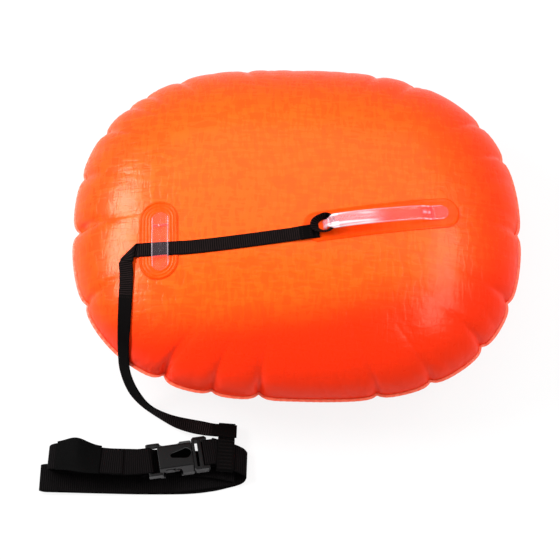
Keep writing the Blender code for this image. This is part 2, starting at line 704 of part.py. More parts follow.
BUCKLE_HALF = BELT_WIDTH / 2 + SIDE_ROOM + RAIL_WIDTH
BODY_X = MOUTH_X - BODY_LENGTH
FEMALE_BAR_X = BODY_X - FEMALE_SLOT - BAR_WIDE / 2
FRAME_X = MOUTH_X + CLEAR
MALE_BAR_X = FRAME_X + CROSS_WALL + FINGER_GAP + INNER_BAR + MALE_SLOT + BAR_WIDE / 2
HOLLOW_HALF = BUCKLE_HALF - SIDE_WALL
BUCKLE_FRAME = (Matrix.Translation((BUCKLE_X, BUCKLE_Y, BUCKLE_Z))
                @ Matrix.Rotation(math.radians(BUCKLE_YAW), 4, "Z")
                @ Matrix.Rotation(math.radians(BUCKLE_PITCH), 4, "Y")
                @ Matrix.Rotation(math.radians(BUCKLE_ROLL), 4, "X"))


def block(name, x, y, z, mat, frame=None, bevel=0.0):
    """A box between pairs of limits, with its edges along Z rounded off by one cut."""
    (x0, x1), (y0, y1), (z0, z1) = x, y, z
    b = bevel
    if b:
        corners = [(x0 + b, y0), (x1 - b, y0), (x1, y0 + b), (x1, y1 - b),
                   (x1 - b, y1), (x0 + b, y1), (x0, y1 - b), (x0, y0 + b)]
    else:
        corners = [(x0, y0), (x1, y0), (x1, y1), (x0, y1)]
    return add(name, *skin_over([[(*c, z) for c in corners] for z in (z0, z1)]), mat, frame)


def rod(name, x, half, radius, mat, frame):
    loops = []
    for y in (-half, half):
        loops.append([(x + radius * math.cos(t), y, radius * math.sin(t))
                      for t in np.arange(BAR_SIDES) * 2 * math.pi / BAR_SIDES])
    return add(name, *skin_over(loops), mat, frame)


def female_half():
    half, top = BUCKLE_HALF, BUCKLE_THICK / 2
    body = block("buckle_female", (BODY_X, MOUTH_X), (-half, half), (-top, top), BUCKLE_BLACK,
                 BUCKLE_FRAME, CORNER)
    for side in (-1, 1):
        y = sorted((side * (half - RAIL_WIDTH), side * half))
        rail = block(f"female_rail_{side}", (FEMALE_BAR_X - BAR_WIDE / 2, BODY_X + CORNER + OVERRUN),
                     y, (-RAIL_THICK / 2, RAIL_THICK / 2), BUCKLE_BLACK, BUCKLE_FRAME)
        boolean(body, rail, "UNION")
    bar = rod("female_bar", FEMALE_BAR_X, half - RAIL_WIDTH / 2, BAR_WIDE / 2, BUCKLE_BLACK,
              BUCKLE_FRAME)
    boolean(body, bar, "UNION")
    hollow = block("female_hollow", (BODY_X + END_WALL, MOUTH_X + OVERRUN),
                   (-HOLLOW_HALF, HOLLOW_HALF), (BUCKLE_WALL - top, top - BUCKLE_WALL),
                   BUCKLE_BLACK, BUCKLE_FRAME)
    boolean(body, hollow, "DIFFERENCE")
    end = MOUTH_X - MOUTH_BAND
    window = block("side_windows", (end - WINDOW_LENGTH, end), (-half - OVERRUN, half + OVERRUN),
                   (-WINDOW_HEIGHT / 2, WINDOW_HEIGHT / 2), BUCKLE_BLACK, BUCKLE_FRAME)
    boolean(body, window, "DIFFERENCE")
    drop = []
    for z in (top - RECESS_DEPTH, top + OVERRUN):
        ring = []
        for t in np.arange(16) * 2 * math.pi / 16:
            narrow = (1 - math.cos(t)) / 2
            ring.append((RECESS_LENGTH / 2 * math.cos(t) - CLEAR,
                         RECESS_WIDTH / 2 * math.sin(t) * narrow ** 0.5, z))
        drop.append(ring)
    boolean(body, add("recess", *skin_over(drop), BUCKLE_BLACK, BUCKLE_FRAME), "DIFFERENCE")
    return body


def male_half():
    half = BUCKLE_HALF
    thick = MALE_THICK / 2
    end = MALE_BAR_X + BAR_WIDE / 2
    gap_x = FRAME_X + CROSS_WALL
    slot_x = gap_x + FINGER_GAP + INNER_BAR
    body = block("buckle_male", (FRAME_X, end), (-half, half), (-thick, thick), BUCKLE_BLACK,
                 BUCKLE_FRAME, CORNER)
    inner = BELT_WIDTH / 2 + SIDE_ROOM
    for name, x in (("finger_gap", (gap_x, gap_x + FINGER_GAP)), ("male_slot", (slot_x, end + OVERRUN))):
        boolean(body, block(name, x, (-inner, inner), (-thick - OVERRUN, thick + OVERRUN),
                            BUCKLE_BLACK, BUCKLE_FRAME), "DIFFERENCE")
    boolean(body, rod("male_bar", MALE_BAR_X, half - RAIL_WIDTH / 2, BAR_WIDE / 2, BUCKLE_BLACK,
                      BUCKLE_FRAME), "UNION")
    tongue = block("tongue_male", (FRAME_X - TONGUE_LENGTH, FRAME_X + CROSS_WALL / 2),
                   (-TONGUE_WIDE / 2, TONGUE_WIDE / 2), (-TONGUE_THICK / 2, TONGUE_THICK / 2),
                   BUCKLE_BLACK, BUCKLE_FRAME)
    boolean(body, tongue, "UNION")
    return body


def release_arm(name, side):
    """One springy arm: a leg from its hinge to a pad that fills the side window."""
    outer = HOLLOW_HALF - ARM_ROOM
    inner = outer - ARM_THICK - PAD_LENGTH / 4
    hinge_x = FRAME_X - CLEAR - ARM_THICK / 2
    hinge_y = inner + ARM_THICK / 2
    tip = hinge_x - ARM_LENGTH
    outline = []
    for t in np.linspace(math.pi / 2, -math.pi / 2, 7):
        outline.append((ARM_THICK / 2 * math.cos(t), ARM_THICK / 2 * math.sin(t)))
    back = tip - hinge_x
    pad = back + PAD_LENGTH
    outline += [(pad, -ARM_THICK / 2), (back + ARM_THICK, -ARM_THICK / 4),
                (back, ARM_THICK / 2), (back, outer - hinge_y - ARM_THICK / 2),
                (back + ARM_THICK, outer - hinge_y), (pad, outer - hinge_y),
                (pad + ARM_THICK / 2, ARM_THICK / 2)]
    outline = [(x, y * side) for x, y in outline][::side]
    loops = [[(*p, z) for p in outline] for z in (-ARM_HEIGHT / 2, ARM_HEIGHT / 2)]
    frame = BUCKLE_FRAME @ Matrix.Translation((hinge_x, hinge_y * side, 0))
    add(name, *skin_over(loops), BUCKLE_BLACK, frame)
    return frame


female_half()
male_half()
ARM_FRAMES = {name: release_arm(name, side)
              for name, side in (("release_near", -1), ("release_far", 1))}


def in_buckle(x, y, z):
    return np.array(BUCKLE_FRAME @ Vector((x, y, z)))


def bar_wrap(bar_x, toward, long_leg, short_leg):
    """A strap's middle round a bar, in the buckle's frame: X and Z from leg's end to tail."""
    r = BAR_WIDE / 2 + CLEAR + BELT_THICK / 2
    row = [(bar_x + toward * s, r) for s in np.linspace(long_leg, 0, 7)]
    row += [(bar_x - toward * r * math.sin(t), r * math.cos(t))
            for t in np.linspace(0, math.pi, 9)[1:-1]]
    row += [(bar_x + toward * s, -r) for s in np.linspace(0, short_leg, 4)]
    return row


# The female half's own webbing end: over its bar and back, and under the belt's main run.
FEMALE_TAIL = 0.010
BEND_DEGREES = 12.9
LAP_LENGTH = 0.012
SLIDE_ROOM = 0.0038
WRAP_Z = BAR_WIDE / 2 + CLEAR + BELT_THICK / 2
MAIN_Z = WRAP_Z + BELT_THICK + CLEAR
MAIN_END_X = BODY_X - RELEASE_TRAVEL - SLIDE_ROOM


def female_end():
    leg = FEMALE_BAR_X - (MAIN_END_X - LAP_LENGTH)
    lefts, rights = [], []
    turn = math.tan(math.radians(BEND_DEGREES))
    for x, z in bar_wrap(FEMALE_BAR_X, -1, leg, FEMALE_TAIL):
        away = FEMALE_BAR_X - x
        y = turn * away ** 2 / leg / 2 if z > 0 and away > 0 else 0
        tilt = math.atan(turn * away / leg) if z > 0 and away > 0 else 0
        for k, out in ((1, lefts), (-1, rights)):
            shift = k * BELT_WIDTH / 2
            out.append((x + shift * math.sin(tilt), y + shift * math.cos(tilt), z))
    webbing("belt_female_end", lefts, rights, BELT_THICK, WEBBING, frame=BUCKLE_FRAME)
    return turn * leg / 2


FEMALE_END_Y = female_end()

# Belt: webbing folded in four layers, each place as shares of the bundle's length from the
# male half's bar, of the belt's width across, and of one layer's height.
BUNDLE_LENGTH = 0.212
BUNDLE_X = -0.0490
BUNDLE_Y = -0.2480
LAYER = 0.0020
BELT_STEP = 0.005
MALE_TAIL = 0.008
LIFT_DEGREES = 10.0
# From the lap under the tab, round the upper left fold, the third layer, the inner right fold,
# the second layer, the lower left fold, the lowest layer and the outer right fold.
# Columns: along, across, height, share of the lifted layers' tilt.
BELT_SHARES = (
    (0.858, 0.010, 11.3, 1.0), (0.905, 0.015, 10.9, 1.0), (0.950, 0.020, 9.9, 1.0),
    (0.983, 0.025, 8.3, 1.0), (0.996, 0.025, 6.4, 1.0), (0.985, 0.020, 4.6, 1.0),
    (0.950, 0.015, 3.35, 1.0), (0.880, 0.01, 2.85, 1.0), (0.700, 0.01, 2.55, 1.0),
    (0.480, 0.01, 2.45, 1.0), (0.280, 0.00, 2.60, 1.0), (0.160, -0.05, 3.10, 0.9),
    (0.095, -0.12, 3.55, 0.7), (0.064, -0.16, 3.45, 0.5), (0.054, -0.20, 2.75, 0.3),
    (0.064, -0.24, 2.00, 0.15), (0.100, -0.29, 1.62, 0.0), (0.180, -0.39, 1.56, 0.0),
    (0.300, -0.52, 1.56, 0.0), (0.450, -0.61, 1.56, 0.0), (0.700, -0.65, 1.60, 0.0),
    (0.900, -0.65, 2.35, 0.0), (0.985, -0.65, 2.95, 0.0), (1.030, -0.65, 2.45, 0.0),
    (1.037, -0.65, 1.60, 0.0), (1.022, -0.65, 0.75, 0.0), (0.970, -0.65, 0.48, 0.0),
    (0.700, -0.65, 0.46, 0.0), (0.500, -0.64, 0.46, 0.0), (0.300, -0.59, 0.46, 0.0),
    (0.180, -0.48, 0.46, 0.0), (0.090, -0.32, 0.46, 0.0), (0.035, -0.20, 0.70, 0.1),
    (0.004, -0.10, 1.90, 0.3), (-0.004, -0.02, 3.80, 0.6), (0.010, 0.06, 5.70, 0.8),
    (0.040, 0.14, 6.95, 1.0), (0.085, 0.24, 7.55, 1.0), (0.130, 0.32, 7.85, 1.0))


def belt_run():
    route, frames = [], []
    turn = math.tan(math.radians(BEND_DEGREES))
    leg = FEMALE_BAR_X - (MAIN_END_X - LAP_LENGTH)
    wall = np.array(BUCKLE_FRAME.to_3x3())

    def edge(lift):
        a = math.radians(lift)
        return np.array([0, math.cos(a), -math.sin(a)])
    far = MAIN_END_X - LAP_LENGTH - RELEASE_TRAVEL
    for x in np.linspace(MAIN_END_X, far, 8):
        away = FEMALE_BAR_X - x
        y = turn * min(away, leg) ** 2 / leg / 2 + max(away - leg, 0) * turn
        tilt = math.atan(turn * min(away / leg, 1))
        route.append(in_buckle(x, y, MAIN_Z))
        frames.append(wall @ np.array([math.sin(tilt), math.cos(tilt), 0]))
    lead = len(route)
    for along, across, up, lift in BELT_SHARES:
        route.append(np.array([BUNDLE_X - along * BUNDLE_LENGTH, BUNDLE_Y + across * BELT_WIDTH,
                               up * LAYER]))
        frames.append(edge(lift * LIFT_DEGREES))
    return np.array(route), np.array(frames), lead


def belt():
    route, frames, lead = belt_run()
    end = bar_wrap(MALE_BAR_X, 1, MALE_TAIL, MALE_TAIL)
    tail = [in_buckle(x, 0, z) for x, z in end]
    across = np.array(BUCKLE_FRAME.to_3x3() @ Vector((0, 1, 0)))
    rows = smooth_route([*route, tail[0]], BELT_STEP, [*frames, across])
    points = [*rows[:, :3], *tail[1:]]
    wides = [*rows[:, 3:], *([across] * (len(tail) - 1))]
    points, wides = np.array(points), np.array(wides)
    along = np.gradient(points, axis=0)
    lefts, rights, normals = [], [], []
    for p, w, t in zip(points, wides, along):
        w = unit(w)
        square = np.cross(unit(t), w)
        half = BELT_WIDTH / 2 / np.linalg.norm(square)
        lefts.append(p + w * half)
        rights.append(p - w * half)
        normals.append(unit(square))
    print(f"belt webbing {np.linalg.norm(np.diff(points, axis=0), axis=1).sum():.3f} m long")
    webbing("belt_webbing", lefts, rights, BELT_THICK, WEBBING, normals=normals)
    return points, np.array(lefts), np.array(rights), np.array(normals)


BELT_POINTS, BELT_LEFTS, BELT_RIGHTS, BELT_NORMALS = belt()
own_gap("belt", BELT_LEFTS, BELT_RIGHTS, BELT_NORMALS, BELT_THICK)

# Tab: a wider label sewn over the belt where it nears the upper left fold.
TAB_WIDTH = 0.0325
TAB_THICK = 0.0010
TAB_LENGTH = 0.048
TAB_X = -0.203


def belt_tab():
    start = int(np.argmax(BELT_POINTS[:, 0] < TAB_X))
    run = np.r_[0, np.cumsum(np.linalg.norm(np.diff(BELT_POINTS[start:], axis=0), axis=1))]
    count = int(np.argmax(run > TAB_LENGTH))
    lift = BELT_THICK / 2 + CLEAR + TAB_THICK / 2
    lefts, rights, normals = [], [], []
    for i in range(start, start + count + 1):
        n = BELT_NORMALS[i] if BELT_NORMALS[i][2] > 0 else -BELT_NORMALS[i]
        p, w = BELT_POINTS[i] + n * lift, unit(BELT_LEFTS[i] - BELT_RIGHTS[i])
        lefts.append(p + w * TAB_WIDTH / 2)
        rights.append(p - w * TAB_WIDTH / 2)
        normals.append(n)
    webbing("belt_tab", lefts, rights, TAB_THICK, WEBBING, normals=normals)


belt_tab()

# Leash loop at the belt: a flat band sewn closed round the belt's run, reaching past its far
# edge, where the leash's end is sewn on.
BELT_LOOP_X = -0.0705
BELT_LOOP_WIDTH = 0.018
BELT_LOOP_REACH = 0.0360
BELT_LOOP_JOIN = 0.0188
LOOP_TURN_STEPS = 6
LOOP_EASE = 0.0012
BELT_END_ROWS = 16             # rows of the belt that go round the buckle's bar


def belt_loop():
    half_way = len(BELT_POINTS) // 2
    turn = half_way + int(np.argmax(BELT_POINTS[half_way:, 0]))
    i = turn + int(np.argmin(np.abs(BELT_POINTS[turn:-BELT_END_ROWS, 0] - BELT_LOOP_X)))
    p = BELT_POINTS[i]
    w = unit(BELT_LEFTS[i] - BELT_RIGHTS[i])
    n = BELT_NORMALS[i] if BELT_NORMALS[i][2] > 0 else -BELT_NORMALS[i]
    t = np.cross(w, n)
    r = BELT_THICK / 2 + LOOP_EASE + LEASH_THICK / 2
    half = BELT_WIDTH / 2 + LOOP_EASE
    flat = LEASH_THICK / 2 + CLEAR / 2
    path = [(half, r), (0, r), (-half, r)]
    path += [(-half - r * math.sin(a), r * math.cos(a))
             for a in np.linspace(0, math.pi, LOOP_TURN_STEPS + 1)[1:-1]]
    path += [(-half, -r), (0, -r), (half, -r), (BELT_LOOP_JOIN, -flat), (BELT_LOOP_REACH, -flat)]
    path += [(BELT_LOOP_REACH, flat), (BELT_LOOP_JOIN, flat)]
    lefts = [p + w * a + n * b + t * BELT_LOOP_WIDTH / 2 for a, b in path]
    rights = [p + w * a + n * b - t * BELT_LOOP_WIDTH / 2 for a, b in path]
    print("belt loop at", p, "width", w, "normal", n)
    webbing("leash_belt_loop", lefts, rights, LEASH_THICK, WEBBING, closed=True)


belt_loop()

# Valve: a welded flange with a neck through the back panel, a one-way flap and a plug.
VALVE_SHARE = 0.337            # of the buoy's length, from its middle
VALVE_X = BUOY_LENGTH * VALVE_SHARE
VALVE_Y = -0.085
FLANGE_RADIUS = 0.0150
FLANGE_THICK = 0.0012
NECK_RADIUS = 0.0065
NECK_BORE = 0.0040
NECK_OUT = 0.0050
NECK_IN = 0.0080
FLAP_RADIUS = 0.0056
FLAP_THICK = 0.0010
PLUG_STEM = 0.0058
PLUG_FIT = 0.0002
PLUG_HEAD = 0.0078
PLUG_HEAD_THICK = 0.0026
PLUG_TRAVEL = 0.0100
ROUND_STEPS = 24
SOFT_CLEAR = skin("clear_vinyl", (0.75, 0.78, 0.8), 0.25)


def turned(name, profile, mat, frame, closed=False):
    """A turned solid from radius and height pairs; one that closes on itself has a bore."""
    loops = []
    for t in np.arange(ROUND_STEPS) * 2 * math.pi / ROUND_STEPS:
        loops.append([(r * math.cos(t), r * math.sin(t), z) for r, z in profile])
    if closed:
        return add(name, *skin_over(loops, closed=True), mat, frame)
    points, faces = [], []
    for loop in loops:
        points += loop[1:-1]
    sides = len(profile) - 2
    for i in range(ROUND_STEPS):
        a, b = i * sides, (i + 1) % ROUND_STEPS * sides
        for j in range(sides - 1):
            faces.append((a + j, a + j + 1, b + j + 1, b + j))
    faces.append([i * sides for i in range(ROUND_STEPS)])
    faces.append([i * sides + sides - 1 for i in range(ROUND_STEPS)])
    return add(name, points, faces, mat, frame)


def back_frame(x, y, span, run=(1, 0)):
    """A frame seated on the back panel's outside: Z points out of the buoy."""
    def spot(px, py):
        hit = BACK_TREE.ray_cast(Vector((px, py, -BUOY_LENGTH)), Vector((0, 0, 1)))[0]
        return np.array([px, py, hit.z])
    run = unit(run)
    side = np.array([-run[1], run[0]])
    here = np.array([x, y])
    u = unit(spot(*(here + run * span)) - spot(*(here - run * span)))
    v = unit(spot(*(here + side * span)) - spot(*(here - side * span)))
    n = unit(np.cross(v, u))
    v = np.cross(n, u)
    base = spot(x, y)
    lift = max((spot(*(here + a * run + b * side)) - base) @ n
               for a in np.linspace(-span, span, 9) for b in np.linspace(-span, span, 9)
               if math.hypot(a, b) <= span)
    origin = base + n * lift
    frame = Matrix.Identity(4)
    for i, axis in enumerate((u, v, n, origin)):
        for j in range(3):
            frame[j][i] = float(axis[j])
    return frame


def moved(frame, x, y, z):
    return frame @ Matrix.Translation((x, y, z))


VALVE_FRAME = moved(back_frame(VALVE_X, VALVE_Y, FLANGE_RADIUS), 0, 0, CLEAR)
turned("valve_base", [(NECK_BORE, -NECK_IN), (NECK_RADIUS, -NECK_IN), (NECK_RADIUS, 0),
                      (FLANGE_RADIUS, 0), (FLANGE_RADIUS, FLANGE_THICK),
                      (NECK_RADIUS, FLANGE_THICK), (NECK_RADIUS, NECK_OUT), (NECK_BORE, NECK_OUT)],
       SOFT_CLEAR, VALVE_FRAME, closed=True)
hole = turned("valve_hole", [(0, -NECK_IN), (NECK_RADIUS + CLEAR, -NECK_IN),
                             (NECK_RADIUS + CLEAR, NECK_OUT), (0, NECK_OUT)], ORANGE, VALVE_FRAME)
boolean(back_panel, hole, "DIFFERENCE")
PLUG_FRAME = moved(VALVE_FRAME, 0, 0, NECK_OUT + CLEAR)
turned("valve_plug", [(0, -PLUG_STEM), (NECK_BORE - PLUG_FIT, -PLUG_STEM), (NECK_BORE - PLUG_FIT, 0),
                      (PLUG_HEAD, 0), (PLUG_HEAD, PLUG_HEAD_THICK), (0, PLUG_HEAD_THICK)],
       SOFT_CLEAR, PLUG_FRAME)


def valve_flap():
    """A disc over the neck's inner end that swings on the edge of its tab."""
    frame = moved(VALVE_FRAME, -FLAP_RADIUS, 0, -NECK_IN - CLEAR)
    ring = [(FLAP_RADIUS * (1 + math.cos(t)), FLAP_RADIUS * math.sin(t))
            for t in np.arange(ROUND_STEPS) * 2 * math.pi / ROUND_STEPS]
    add("valve_flap", *skin_over([[(*p, z) for p in ring] for z in (-FLAP_THICK, 0)]),
        SOFT_CLEAR, frame)
    return frame


FLAP_FRAME = valve_flap()

# Dry pocket: a sheet welded on the back panel, a press-seal strip over its mouth and the
# strip's slider.
POCKET_HALF = 0.085
POCKET_NEAR = 0.068
POCKET_FAR = 0.147
POCKET_CORNER = 0.014
STRIP_Y = 0.1395
STRIP_WIDTH = 0.012
STRIP_THICK = 0.0010
STRIP_HALF = 0.080
RAIL_WEB = 0.0014
RAIL_HEAD = 0.0034
RAIL_HEAD_THICK = 0.0014
RAIL_HIGH = 0.0034
SLIDER_LENGTH = 0.018
SLIDER_WIDTH = 0.0085
SLIDER_WALL = 0.0016
SLIDER_FIT = 0.0003
SLIDER_START = 0.012
GREY = skin("grey_plastic", (0.55, 0.57, 0.6), 0.4)


def pocket():
    """Corners of the sheet, with its two inner corners rounded off."""
    corners = []
    for sx, sy, start in ((1, 1, 0), (-1, 1, 90), (-1, -1, 180), (1, -1, 270)):
        cx = sx * (POCKET_HALF - POCKET_CORNER)
        cy = (POCKET_FAR if sy > 0 else POCKET_NEAR) - sy * POCKET_CORNER
        for t in np.radians(np.linspace(start, start + 90, 5)):
            corners.append((cx + POCKET_CORNER * math.cos(t), cy + POCKET_CORNER * math.sin(t)))
    return corners


film_on("pocket_panel", pocket(), -1, CLEAR, CLEAR + PATCH_FILM, ORANGE)
POCKET_TOP = CLEAR + PATCH_FILM
strip = [(-STRIP_HALF, STRIP_Y - STRIP_WIDTH / 2), (STRIP_HALF, STRIP_Y - STRIP_WIDTH / 2),
         (STRIP_HALF, STRIP_Y + STRIP_WIDTH / 2), (-STRIP_HALF, STRIP_Y + STRIP_WIDTH / 2)]
track = film_on("pocket_track", strip, -1, POCKET_TOP + CLEAR, POCKET_TOP + CLEAR + STRIP_THICK,
                GREY)
TRACK_FRAME = moved(back_frame(0, STRIP_Y, STRIP_WIDTH / 2), 0, 0, POCKET_TOP + CLEAR)
RAIL_TOP = STRIP_THICK + RAIL_HIGH
rail_half = STRIP_HALF - RAIL_HEAD
profile = [(-RAIL_WEB / 2, -RAIL_HIGH), (RAIL_WEB / 2, -RAIL_HIGH),
           (RAIL_WEB / 2, RAIL_TOP - RAIL_HEAD_THICK), (RAIL_HEAD / 2, RAIL_TOP - RAIL_HEAD_THICK),
           (RAIL_HEAD / 2, RAIL_TOP), (-RAIL_HEAD / 2, RAIL_TOP),
           (-RAIL_HEAD / 2, RAIL_TOP - RAIL_HEAD_THICK), (-RAIL_WEB / 2, RAIL_TOP - RAIL_HEAD_THICK)]
rail = add("track_rail", *skin_over([[(x, *p) for p in profile] for x in (-rail_half, rail_half)]),
           GREY, TRACK_FRAME)
shell = dome_solid("rail_room", BACK_RING_SHARES[:-1], -1, RAIL_HIGH * 4,
                   POCKET_TOP + CLEAR + STRIP_THICK / 2, GREY)
boolean(rail, shell, "INTERSECT")
boolean(track, rail, "UNION")

SLIDER_X = SLIDER_START - rail_half
SLIDER_TRAVEL = 2 * rail_half - SLIDER_LENGTH - 2 * SLIDER_START + SLIDER_LENGTH
lip = RAIL_TOP - RAIL_HEAD_THICK - SLIDER_FIT
base = STRIP_THICK + 2 * SLIDER_FIT
top = RAIL_TOP + SLIDER_FIT + SLIDER_WALL
slider_frame = moved(TRACK_FRAME, SLIDER_X, 0, 0)
head = RAIL_HEAD / 2 + SLIDER_FIT
throat = RAIL_WEB / 2 + SLIDER_FIT
wide = SLIDER_WIDTH / 2
profile = [(-wide, base), (-throat, base), (-throat, lip), (-head, lip),
           (-head, RAIL_TOP + SLIDER_FIT), (head, RAIL_TOP + SLIDER_FIT), (head, lip),
           (throat, lip), (throat, base), (wide, base), (wide, top), (-wide, top)]
add("pocket_slider", *skin_over([[(x, *p) for p in profile]
                                 for x in (-SLIDER_LENGTH / 2, SLIDER_LENGTH / 2)]),
    BUCKLE_BLACK, slider_frame)

for name, frame in (("buckle", BUCKLE_FRAME), ("near arm", ARM_FRAMES["release_near"]),
                    ("far arm", ARM_FRAMES["release_far"]), ("plug", PLUG_FRAME),
                    ("flap", FLAP_FRAME), ("slider", slider_frame)):
    axes = [[round(frame[j][i], 5) for j in range(3)] for i in range(4)]
    print(name, "x", axes[0], "y", axes[1], "z", axes[2], "at", axes[3])
print("slider travel", round(SLIDER_TRAVEL, 4), "plug travel", PLUG_TRAVEL)
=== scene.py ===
"""An inflatable buoy for open water swimming, with its leash and folded waist belt.

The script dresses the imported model: film, welds, webbing and buckle, each from its own numbers.
"""
import math

import bmesh
import bpy
import numpy as np
from mathutils import Matrix, Vector


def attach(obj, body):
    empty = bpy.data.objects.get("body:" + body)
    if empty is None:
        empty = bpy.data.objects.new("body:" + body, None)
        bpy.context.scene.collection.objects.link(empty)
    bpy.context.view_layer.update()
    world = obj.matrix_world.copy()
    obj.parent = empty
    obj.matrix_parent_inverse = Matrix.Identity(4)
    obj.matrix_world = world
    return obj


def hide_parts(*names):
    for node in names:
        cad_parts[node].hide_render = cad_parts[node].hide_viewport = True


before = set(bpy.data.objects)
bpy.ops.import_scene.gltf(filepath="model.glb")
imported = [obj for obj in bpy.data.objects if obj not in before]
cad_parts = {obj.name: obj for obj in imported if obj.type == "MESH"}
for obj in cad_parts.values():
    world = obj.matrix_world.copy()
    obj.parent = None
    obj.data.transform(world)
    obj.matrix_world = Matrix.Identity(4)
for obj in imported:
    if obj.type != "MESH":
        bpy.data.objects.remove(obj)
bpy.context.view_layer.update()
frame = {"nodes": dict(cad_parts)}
nodes = frame["nodes"]

# Studio. A white table, a soft box at each side and one overhead, seen from high in front, as a
# catalogue photographer sets them up. Table and sky are plain white only to the camera, in gloss
# and through clear vinyl. On the film they shine less, so that it keeps its deep colour.
VIEW_ELEVATION, VIEW_AZIMUTH = math.radians(70.0), math.radians(1.5)
EYE = (-0.0017, -0.6328, 1.6484)
SENSOR, FAR_AWAY = 36.0, 20
FOCAL_SHARE = 2.7755            # focal length over the picture's width
# Each soft box's place, size and watts.
SOFT_BOXES = (("box_left", (-1.05, 0.24, 0.95), (0.80, 0.34), 22),
              ("box_right", (0.86, 0.02, 1.24), (1.10, 0.25), 10),
              ("box_over", (0.0, 0.95, 1.8), (2.0, 1.2), 13))
BOXES_AIM = Vector((0, 0, 0.1))
WHITE_TO = ("Is Camera Ray", "Is Glossy Ray", "Is Transmission Ray")
SKY_LIGHT = 0.36
TABLE_GLOW = 0.86               # share of plain white in what those rays see of the table
TABLE_HALF, TABLE_Z = 6.0, -0.0002


def in_scene(name, data):
    """A new object of this data, linked to the scene."""
    obj = bpy.data.objects.new(name, data)
    bpy.context.scene.collection.objects.link(obj)
    return obj


lens = bpy.data.cameras.new("camera")
lens.sensor_fit = "HORIZONTAL"
lens.sensor_width = SENSOR
lens.lens = SENSOR * FOCAL_SHARE
lens.clip_end = FAR_AWAY
camera = in_scene("camera", lens)
camera.location = EYE
camera.rotation_euler = (math.pi / 2 - VIEW_ELEVATION, 0, VIEW_AZIMUTH)
bpy.context.scene.camera = camera
bpy.context.scene.view_settings.view_transform = "Standard"

for name, place, size, watts in SOFT_BOXES:
    lamp = bpy.data.lights.new(name, "AREA")
    lamp.shape = "RECTANGLE"
    lamp.size, lamp.size_y = size
    lamp.energy = watts
    box = in_scene(name, lamp)
    box.location = place
    box.rotation_euler = (Vector(place) - BOXES_AIM).to_track_quat("Z", "Y").to_euler()


class Value:
    """An output of a shader node. Arithmetic on it adds Math nodes to the same tree."""

    def __init__(self, nodes, socket):
        self.nodes, self.socket = nodes, socket

    def math(self, operation, *values):
        return self.nodes.node("ShaderNodeMath", {"operation": operation},
                               dict(enumerate((self, *values))))

    def __add__(self, other): return self.math("ADD", other)
    def __sub__(self, other): return self.math("SUBTRACT", other)
    def __mul__(self, other): return self.math("MULTIPLY", other)
    def __rsub__(self, other): return (self - other) * -1.0
    __radd__, __rmul__ = __add__, __mul__

    def wave(self, period):
        """A sine between 0 and 1 with this period."""
        return (self * (2 * math.pi / period)).math("SINE") * 0.5 + 0.5

    def step(self, low, high):
        """0 below low, 1 above high, smooth between."""
        return self.nodes.node("ShaderNodeMapRange", {"interpolation_type": "SMOOTHSTEP"},
                               {0: self, 1: low, 2: high, 3: 0.0, 4: 1.0})

    def near(self, places, soft):
        """1 at places that have a reach each, 0 beyond the reach, soft from this share of it."""
        return sum(1 - (self - at).math("ABSOLUTE").step(reach * soft, reach)
                   for at, reach in places)


class Nodes:
    """A tree of shader nodes, with one way to fill a socket and one to add a node."""

    def __init__(self, tree):
        self.tree = tree

    def put(self, socket, value):
        if isinstance(value, Value):
            self.tree.links.new(value.socket, socket)
        else:
            socket.default_value = value

    def node(self, kind, settings, inputs, output=0):
        """A node of this kind, with its settings first and then its sockets' values or links."""
        made = self.tree.nodes.new(kind)
        for name, value in settings.items():
            setattr(made, name, value)
        for name, value in inputs.items():
            self.put(made.inputs[name], value)
        return Value(self, made.outputs[output])


class Finish(Nodes):
    """One material: its shader, and short ways to add the nodes that it uses."""

    def __init__(self, name, colour, roughness, **fixed):
        self.material = bpy.data.materials.new(name)
        self.material.use_nodes = True
        super().__init__(self.material.node_tree)
        self.shader = self.tree.nodes["Principled BSDF"]
        self.set(Base_Color=(*colour, 1.0), Roughness=roughness, **fixed)

    def set(self, **sockets):
        """Values or links for the shader's sockets."""
        for name, value in sockets.items():
            self.put(self.shader.inputs[name.replace("_", " ")], value)

    def place(self, kind="Object"):
        """X, Y and Z of the piece, or of its normal, or U and V of its map with kind UV."""
        where = self.node("ShaderNodeTexCoord", {}, {}, kind)
        parts = self.node("ShaderNodeSeparateXYZ", {}, {0: where}).socket.node
        return [Value(self, part) for part in parts.outputs]

    def noise(self, scale, detail=3.0, kind="Object", stretch=(1.0, 1.0, 1.0)):
        """Noise between 0 and 1, drawn out where the stretch is less than one."""
        where = self.node("ShaderNodeTexCoord", {}, {}, kind)
        where = self.node("ShaderNodeMapping", {}, {"Vector": where, "Scale": stretch})
        return self.node("ShaderNodeTexNoise", {},
                         {"Vector": where, "Scale": scale, "Detail": detail})

    def blend(self, share, first, second):
        """A colour between two colours."""
        first, second = (c if isinstance(c, Value) else (*c, 1.0) for c in (first, second))
        return self.node("ShaderNodeMix", {"data_type": "RGBA"}, {0: share, 6: first, 7: second},
                         output=2)

    def bump(self, height, depth, strength):
        """Bump of a height between 0 and 1, this deep in metres."""
        self.set(Normal=self.node("ShaderNodeBump", {}, {
            "Height": height, "Distance": depth, "Strength": strength}))


def put_mesh(name, points, faces, finish, uv=None):
    """A mesh object from arrays: points, lists of corners, and a U and V for every point."""
    mesh = bpy.data.meshes.new(name)
    mesh.from_pydata(np.asarray(points).tolist(), [], faces)
    if uv is not None:
        corners = np.empty(len(mesh.loops), np.int32)
        mesh.loops.foreach_get("vertex_index", corners)
        layer = mesh.uv_layers.new(name="map")
        layer.data.foreach_set("uv", np.asarray(uv, np.float32)[corners].ravel())
    mesh.shade_smooth()
    mesh.materials.append(finish.material)
    return in_scene(name, mesh)


